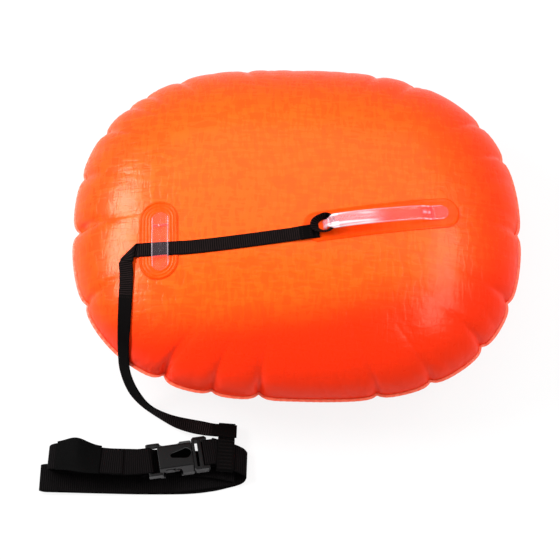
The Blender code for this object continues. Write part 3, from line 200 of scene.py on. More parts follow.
sky = bpy.data.worlds.new("sky")
sky.use_nodes = True
bpy.context.scene.world = sky
sky_nodes = Nodes(sky.node_tree)
sky_nodes.tree.nodes.remove(sky_nodes.tree.nodes["Background"])
shown, white = (sky_nodes.node("ShaderNodeBackground", {}, {"Color": (1, 1, 1, 1), "Strength": s})
                for s in (SKY_LIGHT, 1.0))
for ray in WHITE_TO:
    seen = sky_nodes.node("ShaderNodeLightPath", {}, {}, ray)
    shown = sky_nodes.node("ShaderNodeMixShader", {}, {0: seen, 1: shown, 2: white})
sky_nodes.put(sky_nodes.tree.nodes["World Output"].inputs["Surface"], shown)

table = Finish("table_white", (0.95, 0.95, 0.95), 0.9, Specular_IOR_Level=0.0)
glow = table.node("ShaderNodeEmission", {}, {"Color": (1, 1, 1, 1), "Strength": 1.0})
rays = [table.node("ShaderNodeLightPath", {}, {}, ray) for ray in WHITE_TO]
white_share = rays[0].math("MAXIMUM", rays[1]).math("MAXIMUM", rays[2]) * TABLE_GLOW
both = table.node("ShaderNodeMixShader", {}, {
    0: white_share, 1: Value(table, table.shader.outputs[0]), 2: glow})
table.put(table.tree.nodes["Material Output"].inputs["Surface"], both)
corners = [(x * TABLE_HALF, y * TABLE_HALF, TABLE_Z)
           for x, y in ((-1, -1), (1, -1), (1, 1), (-1, 1))]
put_mesh("floor", corners, [(0, 1, 2, 3)], table)

# Front panel. Coated orange film, welded round its rim to a like panel and blown up. The air
# crowns it, and the rim, too long for the smaller oval that it has to lie on, gathers in
# puckers with creases running up from them.
BUOY_LENGTH, BUOY_WIDTH, BUOY_HALF = 0.490, 0.388, 0.070
END_POWER, SIDE_POWER, CROWN_POWER = 2.9, 2.3, 2.6
WELD_WIDTH, WELD_THICK, FLAT_BOTTOM = 0.003, 0.0012, 0.0005
SEAT_GAP = 0.0003               # between pieces that are welded or sewn together
RIM_Z = BUOY_HALF - FLAT_BOTTOM
CROWN = BUOY_HALF - WELD_THICK / 2 - SEAT_GAP
RIM_STEPS, RING_STEPS, LINE_STEPS = 960, 84, 14401
# Each pucker's bearing in degrees and its share of the depth.
PUCKERS = ((359.9, 0.5), (21.1, 0.45), (32.6, 0.45), (54.1, 0.4), (65.0, 0.35), (107.5, 0.3),
           (128.1, 0.5), (138.0, 0.4), (143.8, 0.45), (153.0, 0.55), (167.3, 0.5), (182.5, 1.0),
           (202.6, 0.55), (231.5, 1.0), (245.5, 0.6), (259.5, 0.8), (295.3, 0.55), (310.3, 0.6),
           (327.0, 0.65), (340.8, 0.6))
PUCKER_DEPTH, PUCKER_SPREAD, PUCKER_SOFT = 0.0086, 0.0056, 0.0006
DRAWN_POWER = 6                 # how fast the pull on the rim dies away inwards
CREASE_DEPTH, CREASE_SPREAD, CREASE_SOFT = 0.0034, 0.0030, 0.0005
CREASE_OPENS = 0.16             # how much wider a crease gets per length up the panel
CREASE_START, CREASE_FADE = 0.0035, 0.024
SMALL_CREASES = 64


def unit(v):
    """Vectors divided by their lengths."""
    v = np.asarray(v, float)
    return v / np.linalg.norm(v, axis=-1, keepdims=True)


def run_along(line):
    """The length run from a line's first point to each of its points."""
    return np.r_[0, np.cumsum(np.linalg.norm(np.diff(line, axis=0), axis=1))]


def at_runs(at, run, line):
    """Places on a line at these runs, straight between its points."""
    return np.stack([np.interp(at, run, column) for column in line.T], -1)


def oval(turns):
    """A superellipse: the cosine and sine of the turn, each raised to 2 over its power."""
    c, s = np.cos(turns), np.sin(turns)
    return np.stack([BUOY_LENGTH / 2 * np.sign(c) * np.abs(c) ** (2 / END_POWER),
                     BUOY_WIDTH / 2 * np.sign(s) * np.abs(s) ** (2 / SIDE_POWER)], -1)


def round_rim(distance):
    """The shorter way round the rim, signed."""
    return (distance + girth / 2) % girth - girth / 2


rim_line = oval(np.linspace(0, 2 * np.pi, LINE_STEPS))
rim_run = run_along(rim_line)
girth = rim_run[-1]
pucker_bearing, pucker_share = np.array(PUCKERS).T
pucker_at = np.interp(np.radians(pucker_bearing),
                      np.unwrap(np.arctan2(rim_line[:, 1], rim_line[:, 0])), rim_run)
rim_places = np.arange(RIM_STEPS) * girth / RIM_STEPS
rim, ahead, behind = (at_runs((rim_places + s * WELD_WIDTH) % girth, rim_run, rim_line)
                      for s in (0, 1, -1))
rim_out = unit(np.stack([ahead[:, 1] - behind[:, 1], behind[:, 0] - ahead[:, 0]], -1))
# The puckers draw the rim in: a sum of cusps that die away on both sides.
soft_away = np.sqrt(round_rim(rim_places[:, None] - pucker_at) ** 2 + PUCKER_SOFT ** 2)
rim_drawn = PUCKER_DEPTH * (pucker_share * np.exp(-soft_away / PUCKER_SPREAD)).sum(-1)
panel_rim = rim - rim_out * WELD_WIDTH
rim_bearing = np.arctan2(panel_rim[:, 1], panel_rim[:, 0])
rim_reach = np.linalg.norm(panel_rim, axis=1)


def crown(share):
    """Height over the rim's plane: one minus the share to a power, under a root."""
    return CROWN * np.sqrt(np.clip(1 - share ** CROWN_POWER, 0, 1))


def at_bearing(values, angle):
    """What holds at the rim in this direction from the middle."""
    return np.interp(angle, rim_bearing, values, period=2 * np.pi)


def top_height(xy):
    """The front panel's height at places seen from above, without its creases. The share of the
    way to the rim is found in four passes, since the puckers draw the panel in with it."""
    xy = np.asarray(xy, float)
    angle = np.arctan2(xy[..., 1], xy[..., 0])
    out = np.stack([at_bearing(rim_out[:, i], angle) for i in (0, 1)], -1)
    drawn = at_bearing(rim_drawn, angle)[..., None]
    reach = at_bearing(rim_reach, angle)
    share = np.linalg.norm(xy, axis=-1) / reach
    for _ in range(4):
        share = np.linalg.norm(xy + out * drawn * share[..., None] ** DRAWN_POWER, axis=-1) / reach
    return RIM_Z + BUOY_HALF - CROWN + crown(share)


random = np.random.default_rng(7)
small_at, small_share, small_fade, small_lean = (
    random.uniform(low, high, SMALL_CREASES)
    for low, high in ((0, girth), (0.12, 0.42), (0.010, 0.026), (-0.35, 0.35)))
pucker_lean = random.uniform(-0.18, 0.18, len(PUCKERS))
CREASES = np.stack([np.r_[pucker_at, small_at], np.r_[pucker_share, small_share],
                    np.r_[CREASE_FADE * (0.5 + pucker_share), small_fade],
                    np.r_[pucker_lean, small_lean]], -1)


def creases(places, climb):
    """How deep the creases are, from the distance round the rim and the climb from it. Each is a
    cusp that leans and opens as it climbs, and fades with its own length."""
    depth = np.zeros(np.broadcast(places, climb).shape)
    for mark, share, fade, lean in CREASES:
        away = round_rim(places - mark - lean * climb)
        wide = CREASE_SPREAD * (0.6 + 0.6 * share) + CREASE_OPENS * climb
        fold = np.exp(-np.sqrt(away ** 2 + CREASE_SOFT ** 2) / wide)
        depth += share * fold * np.exp(-(climb / (fade * 2.0)) ** 1.3)
    return CREASE_DEPTH * depth * (1 - np.exp(-climb / CREASE_START))


def panel(side):
    """Grid of a panel: rings of growing share by places round the rim, creased near it."""
    t = np.linspace(0, 1, RING_STEPS + 1)[1:]
    share = 1 - (1 - t) ** 2.1
    flat = (share[:, None, None] * panel_rim
            - rim_out * (rim_drawn * share[:, None] ** DRAWN_POWER)[..., None])
    up = np.broadcast_to((BUOY_HALF - CROWN + crown(share))[:, None], flat.shape[:2])
    grid = np.concatenate([flat, up[..., None]], -1)
    steps = np.linalg.norm(np.diff(grid, axis=0), axis=-1)
    climb = np.concatenate([np.cumsum(steps[::-1], axis=0)[::-1], np.zeros((1, RIM_STEPS))])
    n = unit(np.cross(np.gradient(grid, axis=0), np.roll(grid, -1, 1) - np.roll(grid, 1, 1)))
    grid = grid - n * creases(rim_places[None], climb)[..., None]
    grid[..., 2] = RIM_Z + side * grid[..., 2]
    return grid


def ring_faces(count, sides, closed=False):
    """Four-sided faces that join rings of points, and the last ring to the first when closed."""
    i, k = np.meshgrid(np.arange(count if closed else count - 1), np.arange(sides), indexing="ij")
    a, b, j = i * sides, (i + 1) % count * sides, (k + 1) % sides
    return np.stack([a + k, b + k, b + j, a + j], -1).reshape(-1, 4).tolist()


def sheet(name, grid, middles, finish, side):
    """Rings joined by four-sided faces, with a fan about a point in the first ring and, where
    there is a second point, one in the last. Side says which way is out."""
    rings, count = grid.shape[:2]
    k = np.arange(count)
    j, first, last = (k + 1) % count, rings * count, (rings - 1) * count
    faces = ring_faces(rings, count) + np.stack([0 * k + first, k, j], -1).tolist()
    if len(middles) > 1:
        faces += np.stack([0 * k + first + 1, last + j, last + k], -1).tolist()
    if side < 0:
        faces = [face[::-1] for face in faces]
    return put_mesh(name, np.vstack([grid.reshape(-1, 3), *middles]), faces, finish)


def dress(piece, node, body="buoy"):
    """The piece takes the node's place and its body."""
    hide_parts(node)
    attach(piece, body)
    return piece


WEAVE_SCALE, WEAVE_DRAWN, WEAVE_EDGE = 200, 0.26, (0.46, 0.57)
# Where painted shade deepens the film towards the front, and where painted light pales it on the
# crown.
FRONT_SHADE_PAINTED, TOP_LIGHT_PAINTED, SIDE_SHINES = (-0.145, -0.078), (0.105, 0.139), (0.074, 0.104)


def film(name, deep, pale, shine=0.18, relief=0.00035):
    """Coated film: a coarse crossed weave pressed into a smooth coat. Its colour is painted pale,
    as if lit, where it faces up on the crown, and painted deep red orange, as if in shade, down
    the sides, most in front."""
    coat = Finish(name, pale, 0.36, IOR=1.5, Specular_IOR_Level=shine,
                  Specular_Tint=(1.0, 0.95, 0.60, 1.0))
    x, y, z = coat.place()
    weft, warp = (coat.noise(WEAVE_SCALE, 1.5, stretch=s).step(*WEAVE_EDGE)
                  for s in ((1.0, WEAVE_DRAWN, WEAVE_DRAWN), (WEAVE_DRAWN, 1.0, WEAVE_DRAWN)))
    weave = weft * 0.5 + warp * 0.5
    cloud = coat.noise(11)
    # Painted shade and light: deep towards the front and low down, pale on the crown.
    front = (y - x * 0.2 + (z - 0.14) * 0.8 + cloud * 0.02).step(*FRONT_SHADE_PAINTED)
    low = x * -0.7 + 0.40             # painted shade is deeper on the right end's sides
    painted_light_share = front * (z.step(*TOP_LIGHT_PAINTED) * (1 - low) + low)
    coat.set(Base_Color=coat.blend(painted_light_share * 0.72 + weave * painted_light_share * 0.40, deep, pale),
             Roughness=0.46 - z.step(*SIDE_SHINES) * 0.26 + cloud * 0.10 + weave * 0.05)
    coat.bump(weave, relief, 0.5)
    return coat


# The film's deep colour is its colour in painted shade, and its pale colour its colour in painted
# light.
FILM = film("orange_film", (0.93, 0.024, 0.000), (0.96, 0.101, 0.0036))
FILM.set(Coat_Weight=0.05, Coat_Roughness=0.14)
dress(sheet("front_film", panel(1), [(0, 0, RIM_Z + BUOY_HALF)], FILM, 1), "front_panel")

# Back panel. The same film underneath: it carries the valve and the dry pocket, and lies flat
# on the table in the middle.
back_grid = panel(-1)
back_grid[..., 2] = np.maximum(back_grid[..., 2], 0)
dress(sheet("back_film", back_grid, [(0, 0, 0)], FILM, -1), "back_panel")

# Weld. The two films' rims, pressed together hot into one thin strip. Light gets through it, so
# it looks paler and pinker than the panels.
WELD_REACH = WELD_WIDTH + 0.0016
WELD_WAVE, WELD_WAVES = 0.0003, 900
# The strip's section: shares of the way out, and of half its thickness up.
WELD_SECTION = ((0, -1), (0.5, -1), (0.92, -1), (1, -0.4), (1, 0.4), (0.92, 1), (0.5, 1), (0, 1))

weld_film = Finish("welded_film", (1.0, 0.2, 0.1), 0.3, IOR=1.5, Specular_IOR_Level=0.2)
speck = weld_film.noise(260)
weld_film.set(Base_Color=weld_film.blend(speck, (0.92, 0.05, 0.012), (1.0, 0.26, 0.15)))
weld_film.bump(speck, 0.0002, 0.5)

weld_edge = rim - rim_out * rim_drawn[:, None]
weld_grid = np.stack([np.column_stack([
    weld_edge - rim_out * WELD_REACH + rim_out * WELD_REACH * share,
    RIM_Z + WELD_THICK / 2 * up + WELD_WAVE * np.sin(rim_places * WELD_WAVES) * share])
    for share, up in WELD_SECTION], 1)
dress(put_mesh("weld_strip", weld_grid.reshape(-1, 3),
               ring_faces(*weld_grid.shape[:2], closed=True), weld_film), "weld_rim")

# Patches. Film ovals welded on the front panel under each strap. The welding tool leaves a raised
# bead round the edge, and on the keeper's patch a row of rings inside one another.
PATCH_THICK = 0.0006
# Each oval's length and width, its middle, and its turn in degrees.
HANDLE_OVAL = (0.168, 0.0335, 0.089, -0.0112, 10.1)
KEEPER_OVAL = (0.0865, 0.0415, -0.145, -0.0384, 92.9)
PATCH_RINGS, UNDER_RINGS, PATCH_TURNS = 40, 6, 220
PATCH_CLEAR, PATCH_RAMP = 0.0006, 0.005     # where a strap comes down beside a patch
UNDERSIDE = 0.0001              # how far a patch's underside is from the panel
BEAD_IN, BEAD_WIDE, BEAD_HIGH = 0.0016, 0.0008, 0.0004
RIB_PITCH, RIB_HIGH, RIB_REACH = 0.0034, 0.00045, 0.014


def off_oval(xy, sizes):
    """Distance outside a long oval, less than nothing inside it."""
    length, width, cx, cy, degrees = sizes
    a = math.radians(degrees)
    x, y = xy[..., 0] - cx, xy[..., 1] - cy
    along, across = x * math.cos(a) + y * math.sin(a), y * math.cos(a) - x * math.sin(a)
    half = (length - width) / 2
    return np.hypot(along - np.clip(along, -half, half), across) - width / 2


def seat(xy):
    """Height of what a strap lies on: the panel, and a patch where there is one."""
    xy = np.asarray(xy, float)
    over = [np.clip(1 - (off_oval(xy, o) - PATCH_CLEAR) / PATCH_RAMP, 0, 1)
            for o in (HANDLE_OVAL, KEEPER_OVAL)]
    return top_height(xy) + (SEAT_GAP + PATCH_THICK) * np.maximum(*over)


def sheet_on(name, outline, inside, ground, side, finish, relief, node):
    """A film sheet welded on a panel: rings from its middle to its edge, and back underneath.
    ground(xy) is the panel's height, and side says which way is out."""
    middle = outline.mean(0)
    t = np.linspace(0.03, 1, PATCH_RINGS)
    reach = np.r_[1 - (1 - t) ** 1.7, 1.0, np.linspace(0.98, 0.02, UNDER_RINGS)]
    xy = middle + reach[:, None, None] * (outline - middle)
    up = SEAT_GAP + PATCH_THICK + relief(inside(xy))
    up[PATCH_RINGS - 1] = SEAT_GAP + PATCH_THICK * 0.7
    up[PATCH_RINGS] = SEAT_GAP + 0.0002
    up[PATCH_RINGS + 1:] = UNDERSIDE
    grid = np.concatenate([xy, (ground(xy) + side * up)[..., None]], -1)
    ends = np.column_stack([[middle] * 2, ground(np.array([middle] * 2))
                            + side * np.array([SEAT_GAP + PATCH_THICK, UNDERSIDE])])
    return dress(sheet(name, grid, ends, finish, side), node)


def patch(name, sizes, relief, node):
    """A long oval of film: two half circles and the straight sides between them."""
    length, width, cx, cy, degrees = sizes
    a, half = math.radians(degrees), (length - width) / 2
    turn = np.linspace(0, 2 * np.pi, PATCH_TURNS, endpoint=False)
    c = np.cos(turn)
    along = c * width / 2 + np.sign(c) * half * np.minimum(1, np.abs(c) * 6)
    across = np.sin(turn) * width / 2
    outline = np.stack([cx + along * math.cos(a) - across * math.sin(a),
                        cy + along * math.sin(a) + across * math.cos(a)], -1)
    sheet_on(name, outline, lambda xy: -off_oval(xy, sizes), top_height, 1, PATCH, relief, node)


def bead(inside):
    """A welded bead just inside the edge: a bell curve of the distance in."""
    return BEAD_HIGH * np.exp(-((inside - BEAD_IN) / BEAD_WIDE) ** 2)


def ribs(inside):
    """The bead, and rings, a squared cosine of the distance in, that fade towards the middle."""
    rings = 0.5 + 0.5 * np.cos((inside - BEAD_IN) * 2 * np.pi / RIB_PITCH)
    return bead(inside) + RIB_HIGH * rings ** 2 * (inside > 0) * np.exp(-(inside / RIB_REACH) ** 4)


# The patches' film has the same painted shade and painted light, between its own deep and pale
# colours.
PATCH = film("patch_film", (0.98, 0.035, 0.000), (1.0, 0.070, 0.002), shine=0.10, relief=0.0001)
patch("handle_patch_film", HANDLE_OVAL, bead, "handle_patch")
patch("keeper_patch_film", KEEPER_OVAL, ribs, "keeper_patch")

# Handle strap. One moulded strip of clear soft vinyl, welded to the patch at both feet. It stands
# steep at the loop's end and slopes away to the other, with a long trough down its middle.
HANDLE_LENGTH, HANDLE_WIDTH, HANDLE_THICK, HANDLE_ARCH = 0.1345, 0.016, 0.0015, 0.0098
HANDLE_START, HANDLE_DEGREES, HANDLE_STEP = (0.0275, -0.0230), 10.6, 0.0012
# Side view: shares of the length and of the arch.
HANDLE_PROFILE = ((0.026, 0.0), (0.012, 0.0), (0.004, 0.10), (0.012, 0.42), (0.040, 0.78),
                  (0.085, 0.97), (0.15, 1.02), (0.24, 1.0), (0.36, 0.91), (0.50, 0.76),
                  (0.64, 0.60), (0.74, 0.47), (0.795, 0.36), (0.83, 0.16), (0.865, 0.02),
                  (0.90, 0.0), (0.95, 0.0), (1.0, 0.0))
PINCH_FROM, PINCH_OVER = 0.0115, 0.006      # it is narrow under the loop, and widens after it
TAPER_OVER = 0.007
RAIL_SHARE, RAIL_WIDE, RAIL_HIGH = 0.36, 0.0014, 0.00045
RAIL_FROM, RAIL_TO = 0.02, 0.118
CORNER_STEPS = 7


def even_rows(rows, step):
    """Even places on a smooth curve through rows: between two rows, the cubic that keeps the
    slope at both. The first three columns are a place, and the rest go along with it."""
    rows = np.asarray(rows, float)
    ends = np.vstack([2 * rows[0] - rows[1], rows, 2 * rows[-1] - rows[-2]])
    s = np.linspace(0, 1, 60, endpoint=False)[:, None]
    p0, p1, p2, p3 = (ends[i:len(ends) - 3 + i, None] for i in range(4))
    curve = 0.5 * (2 * p1 + (p2 - p0) * s + (2 * p0 - 5 * p1 + 4 * p2 - p3) * s ** 2
                   + (3 * p1 - p0 - 3 * p2 + p3) * s ** 3)
    curve = np.vstack([curve.reshape(-1, rows.shape[1]), rows[-1:]])
    run = run_along(curve[:, :3])
    return at_runs(np.linspace(0, run[-1], max(2, round(run[-1] / step)) + 1), run, curve)


def laid(start, degrees, profile, length, arch, step):
    """A strip's side view laid on the panel: its places seen from above, the direction to its
    left, and even rows of the run from the start, nothing, and the height."""
    a = math.radians(degrees)
    ahead = np.array([math.cos(a), math.sin(a)])
    rows = even_rows([(x * length, 0.0, up * arch) for x, up in profile], step)
    return np.array(start) + ahead * rows[:, :1], np.array([-ahead[1], ahead[0]]), rows


def strip_normals(lefts, rights):
    """Square to the strip's run and to its width, without flips from row to row."""
    n = unit(np.cross(np.gradient((lefts + rights) / 2, axis=0), lefts - rights))
    flips = np.cumprod(np.where(np.r_[1, (n[1:] * n[:-1]).sum(1)] < 0, -1, 1))
    return n * flips[:, None]


def end_faces(count, sides):
    """The flat faces that close the first and the last ring."""
    return [list(range(sides))[::-1], [(count - 1) * sides + k for k in range(sides)]]


def faced_out(piece):
    """A closed piece with unused points dropped and its faces turned outwards."""
    fix = bmesh.new()
    fix.from_mesh(piece.data)
    bmesh.ops.delete(fix, geom=[v for v in fix.verts if not v.link_faces], context="VERTS")
    bmesh.ops.recalc_face_normals(fix, faces=fix.faces[:])
    fix.to_mesh(piece.data)
    fix.free()
    return piece


def strap(name, lefts, rights, thick, finish, node, across, normals=None, closed=False,
          swell=None, body="buoy", slot="black_webbing"):
    """A flat strap: its section, two flat sides with round edges, carried along pairs of edge
    points. swell(u, v) adds height on both sides at a place across and along, in metres."""
    if normals is None:
        normals = strip_normals(lefts, rights)
    half = np.linalg.norm(lefts - rights, axis=1, keepdims=True) / 2
    w, middle, r = unit(lefts - rights), (lefts + rights) / 2, thick / 2
    turn = np.linspace(np.pi / 2, -np.pi / 2, CORNER_STEPS)
    flat = np.linspace(-1, 1, across + 1)[1:-1]
    share = np.r_[flat, 1 + 0 * turn, flat[::-1], -1 + 0 * turn]
    bulge = np.r_[0 * flat, np.cos(turn), 0 * flat, -np.cos(turn)]
    up = np.r_[1 + 0 * flat, np.sin(turn), -1 + 0 * flat, -np.sin(turn)]
    x = share * (half - r) + bulge * r
    z = np.broadcast_to(up * r, x.shape).copy()
    v = np.broadcast_to(run_along(middle)[:, None], x.shape)
    if swell is not None:
        z += up * swell(x, v)
    grid = middle[:, None] + w[:, None] * x[..., None] + normals[:, None] * z[..., None]
    faces = ring_faces(*x.shape, closed=closed) + ([] if closed else end_faces(*x.shape))
    piece = put_mesh(name, grid.reshape(-1, 3), faces, finish,
                     uv=np.stack([x, v], -1).reshape(-1, 2))
    return dress(faced_out(piece), node, body)


def clear_vinyl(name, width, rim, streaks, tint, bands, glints=(), base=0.13, relief=0.0005):
    """Soft clear vinyl, seen mostly through, and what shows through it is tinted pink. Highlights
    are
    painted on it, paler and less clear: along its edges, over its first stretch up to streaks with
    long streaks and glints in it, and as glints across it at its folds. Bands where it is welded
    show the film; glints and bands each have a place along it and a reach."""
    vinyl = Finish(name, tint, 0.14, IOR=1.45, Specular_IOR_Level=0.6)
    u, v, _ = vinyl.place("UV")
    edge = u.math("ABSOLUTE").step(width / 2 - rim, width / 2 - rim * 0.4)
    flow = vinyl.noise(230, 2.0, kind="UV", stretch=(1.0, 0.06, 1.0))
    start = 1 - v.step(streaks * 0.8, streaks * 1.3)
    streak = flow.step(0.46, 0.66) * start
    glint = flow.step(0.60, 0.72) * start + flow.step(0.4, 0.55) * v.near(glints, 0.4)
    band = v.near(bands, 0.6) * (1 - edge)
    # Painted highlights: the edges, the first stretch, its streaks and the glints are painted
    # paler and less clear.
    pale = vinyl.blend(streak * 0.8 + start * 0.4 + edge * 0.4 + glint * 0.5, tint,
                       (0.72, 0.66, 0.71))
    vinyl.set(Base_Color=vinyl.blend(band, pale, (1.0, 0.07, 0.06)),
              Alpha=base + edge * 0.24 + start * 0.20 + streak * 0.34 + glint * 0.5 + band * 0.5,
              Roughness=0.08 + flow * 0.12)
    vinyl.bump(flow, relief, 0.7)
    return vinyl


def trough(u, v):
    """Thicker rails along both edges of the strap's free part, and a shallow trough between."""
    rails = np.exp(-((np.abs(u) - HANDLE_WIDTH * RAIL_SHARE) / RAIL_WIDE) ** 2)
    return RAIL_HIGH * rails * (np.clip((v - RAIL_FROM) / 0.01, 0, 1)
                                * np.clip((RAIL_TO - v) / 0.004, 0, 1))


places, handle_side, profile = laid(HANDLE_START, HANDLE_DEGREES, HANDLE_PROFILE, HANDLE_LENGTH,
                                    HANDLE_ARCH, HANDLE_STEP)
under = np.max([seat(places + k * handle_side * HANDLE_WIDTH / 2) for k in (-1, 0, 1)], axis=0)
handle_middle = np.column_stack([places, under + SEAT_GAP + HANDLE_THICK / 2 + profile[:, 2]])
run = run_along(profile)[:, None]
pinch = 0.56 + 0.44 * np.clip((run - PINCH_FROM) / PINCH_OVER, 0, 1) ** 0.8
taper = 0.35 + 0.65 * np.clip((run[-1] - run) / TAPER_OVER, 0, 1) ** 0.5
handle_side = np.append(handle_side, 0)
sideways = handle_side * HANDLE_WIDTH / 2 * pinch * taper
handle_up = np.cross(unit(np.gradient(handle_middle, axis=0)), handle_side)
handle_up *= np.sign(handle_up[len(handle_up) // 2, 2])
# Painted highlights: glints on the steep leg by the loop and at the far bend.
HANDLE_VINYL = clear_vinyl("clear_vinyl_handle", HANDLE_WIDTH, 0.0018, 0.062, (1.0, 0.16, 0.24),
                           bands=((0.127, 0.002),),
                           glints=((0.019, 0.005), (0.117, 0.0035), (0.1225, 0.002)))
strap("handle_strip", handle_middle + sideways, handle_middle - sideways, HANDLE_THICK,
      HANDLE_VINYL, "handle_strap", 30, normals=handle_up, swell=trough, slot="clear_film")

# Keeper strap. A short strip of the same clear vinyl, with round ends. It is welded down before
# and after the leash and stretched over it in the middle, where the leash slides through.
KEEPER_LENGTH, KEEPER_WIDTH, KEEPER_THICK, KEEPER_ARCH = 0.064, 0.018, 0.0015, 0.0038
KEEPER_MIDDLE, KEEPER_DEGREES, KEEPER_STEP = (-0.1431, -0.0403), 92.9, 0.0008
# Side view: shares of the length and of the arch.
KEEPER_PROFILE = ((0.0, 0.0), (0.08, 0.0), (0.145, 0.0), (0.20, 0.55), (0.25, 0.95), (0.31, 1.0),
                  (0.42, 1.0), (0.53, 1.0), (0.60, 0.95), (0.66, 0.55), (0.72, 0.0), (0.80, 0.0),
                  (0.90, 0.0), (1.0, 0.0))
KEEPER_FOLDS, FOLD_WIDE, FOLD_HIGH = (0.0125, 0.0165, 0.047, 0.051), 0.0007, 0.0003
LINE_WIDE, LINE_HIGH = 0.0008, 0.0002


def pressed(u, v):
    """Shallow cross folds where the strip is welded down, and one line along its middle."""
    folds = sum(np.exp(-((v - at) / FOLD_WIDE) ** 2) for at in KEEPER_FOLDS)
    return FOLD_HIGH * folds + LINE_HIGH * np.exp(-(u / LINE_WIDE) ** 2)


places, keeper_side, profile = laid(KEEPER_MIDDLE, KEEPER_DEGREES,
                                    [(x - 0.5, up) for x, up in KEEPER_PROFILE],
                                    KEEPER_LENGTH, KEEPER_ARCH, KEEPER_STEP)
edges = [places + k * keeper_side * KEEPER_WIDTH / 2 for k in (1, -1)]
heights = [seat(e) for e in edges]
lift = (np.maximum(seat(places) - (heights[0] + heights[1]) / 2, 0)
        + SEAT_GAP + KEEPER_THICK / 2 + profile[:, 2])
edges = [np.column_stack([e, h + lift]) for e, h in zip(edges, heights)]
middle = (edges[0] + edges[1]) / 2
from_end = np.minimum(profile[:, 0] + KEEPER_LENGTH / 2, KEEPER_LENGTH / 2 - profile[:, 0])
from_end = np.clip(from_end / (KEEPER_WIDTH / 2), 0, 1)
rounded = np.sqrt(np.clip(1 - (1 - from_end) ** 2.6, 0.02, 1))[:, None]
KEEPER_VINYL = clear_vinyl("clear_vinyl_keeper", KEEPER_WIDTH, 0.0014, 0.0001,
                           (0.50, 0.36, 0.44), bands=((0.0515, 0.0016), (0.0155, 0.0008)),
                           base=0.035, relief=0.00005)
strap("keeper_strip", *(middle + (e - middle) * rounded for e in edges), KEEPER_THICK,
      KEEPER_VINYL, "keeper_strap", 30, swell=pressed, slot="clear_film")

# Leash. Black polyester webbing, 15 mm wide, close-woven with a rib along each edge. It runs from
# its loop at the handle under the keeper, folds over at a corner and falls over the rim.
LEASH_LENGTH, LEASH_WIDTH, LEASH_THICK = 0.497, 0.015, 0.0013
LEASH_LIFT = SEAT_GAP + LEASH_THICK / 2
LEASH_STEP, LEASH_PICK, LEASH_PICK_HIGH = 0.0008, 0.0023, 0.00022
FOLD_SPACE = 0.0005
LAP = 0.012                     # how far the leash's end lies over the loop's tongue
LEASH_ON_TOP = ((0.0160, -0.0297), (0.0065, -0.0312), (-0.0237, -0.0361), (-0.0537, -0.0409),
                (-0.0800, -0.0445), (-0.1050, -0.0473), (-0.1300, -0.0488), (-0.1520, -0.0491))
LEASH_CORNER = (-0.1733, -0.0491)
LEASH_SHOULDER = ((-0.1768, -0.0780), (-0.1772, -0.1000), (-0.1776, -0.1220), (-0.1782, -0.1428))
# Free places past the rim, each with the direction of the edge that lay nearer the middle.
LEASH_FALL = (
    (-0.1799, -0.1564, 0.0705, 0.81, -0.58, 0.0), (-0.1790, -0.1625, 0.0560, 0.85, -0.5, 0.08),
    (-0.1758, -0.1700, 0.0400, 0.9, -0.35, 0.25), (-0.1705, -0.1772, 0.0250, 0.8, -0.1, 0.6),
    (-0.1625, -0.1845, 0.0150, 0.5, 0.05, 0.85), (-0.1525, -0.1910, 0.0102, 0.2, 0.2, 0.97),
    (-0.1400, -0.1975, 0.0092, 0.0, 0.42, 0.9), (-0.1260, -0.2035, 0.0097, 0.0, 0.68, 0.73),
    (-0.1110, -0.2078, 0.0118, 0.03, 0.88, 0.45), (-0.0980, -0.2106, 0.0141, 0.02, 0.98, 0.12),
    (-0.0870, -0.2124, 0.0148, 0.01, 0.98, -0.12),
    (-0.0774, -0.2128, 0.01400, 0.0025, 0.985, -0.173),
    (-0.0684, -0.2130, 0.01294, 0.0025, 0.985, -0.173),
    (-0.0595, -0.2132, 0.01188, 0.0025, 0.985, -0.173))
SEWN = ((0.0, 0.012), (0.243, 0.400), (0.468, 0.510))
SELVEDGE, WARP_PITCH, STITCH_PITCH, STITCH_IN = (0.0012, 0.0007), 0.0011, 0.0022, 0.002


def webbing(name, colour, pale, pick, width, deep=0.0006, smooth=()):
    """Woven webbing on its U across and V along: picks across it show as rounded ribs, warp ends
    make fine lines along it, and a smoother selvedge runs along each edge. Sewn stretches, given
    by where they begin and end, are pressed smooth, with a row of stitches at each end."""
    cloth = Finish(name, colour, 0.72, Specular_IOR_Level=0.03)
    u, v, _ = cloth.place("UV")
    wear_and_sheen = cloth.noise(70, 2.0, kind="UV")
    fuzz = cloth.noise(900, 2.0, kind="UV", stretch=(1.0, 0.5, 1.0))
    inner = 1 - u.math("ABSOLUTE").step(*(width / 2 - s for s in SELVEDGE))
    picks = (v + wear_and_sheen * 0.0006).wave(pick)
    ends = u.wave(WARP_PITCH)
    for begin, end in smooth:
        picks = picks * (1 - v.step(begin, begin + 0.001) * (1 - v.step(end, end + 0.001)) * 0.85)
        rows = v.near(((begin + STITCH_IN, 0.0007), (end - STITCH_IN, 0.0007)), 3 / 7)
        picks = picks + rows * u.wave(STITCH_PITCH) * inner * 0.9
    height = picks * (0.45 + inner * 0.25) + ends * inner * 0.12 + fuzz * 0.18
    # Painted highlight: the ribs' crests are painted towards the pale colour, less at the
    # selvedges.
    lit = (picks.step(0.45, 0.95) * (0.35 + inner * 0.65) * (0.45 + fuzz * 0.9)
           * (0.6 + wear_and_sheen * 0.8) + ends * fuzz * 0.15)
    cloth.set(Base_Color=cloth.blend(lit, colour, pale), Roughness=0.62 + fuzz * 0.2)
    cloth.bump(height, deep, 0.9)
    return cloth


def pick_ribs(pitch, high):
    """Ribs across a strap: the size of a sine along it, of this pitch and height."""
    return lambda u, v: high * np.abs(np.sin(v * np.pi / pitch)) - high / 2


def on_seat(places):
    """Places seen from above, with the seat's height."""
    return np.column_stack([places, seat(places)])


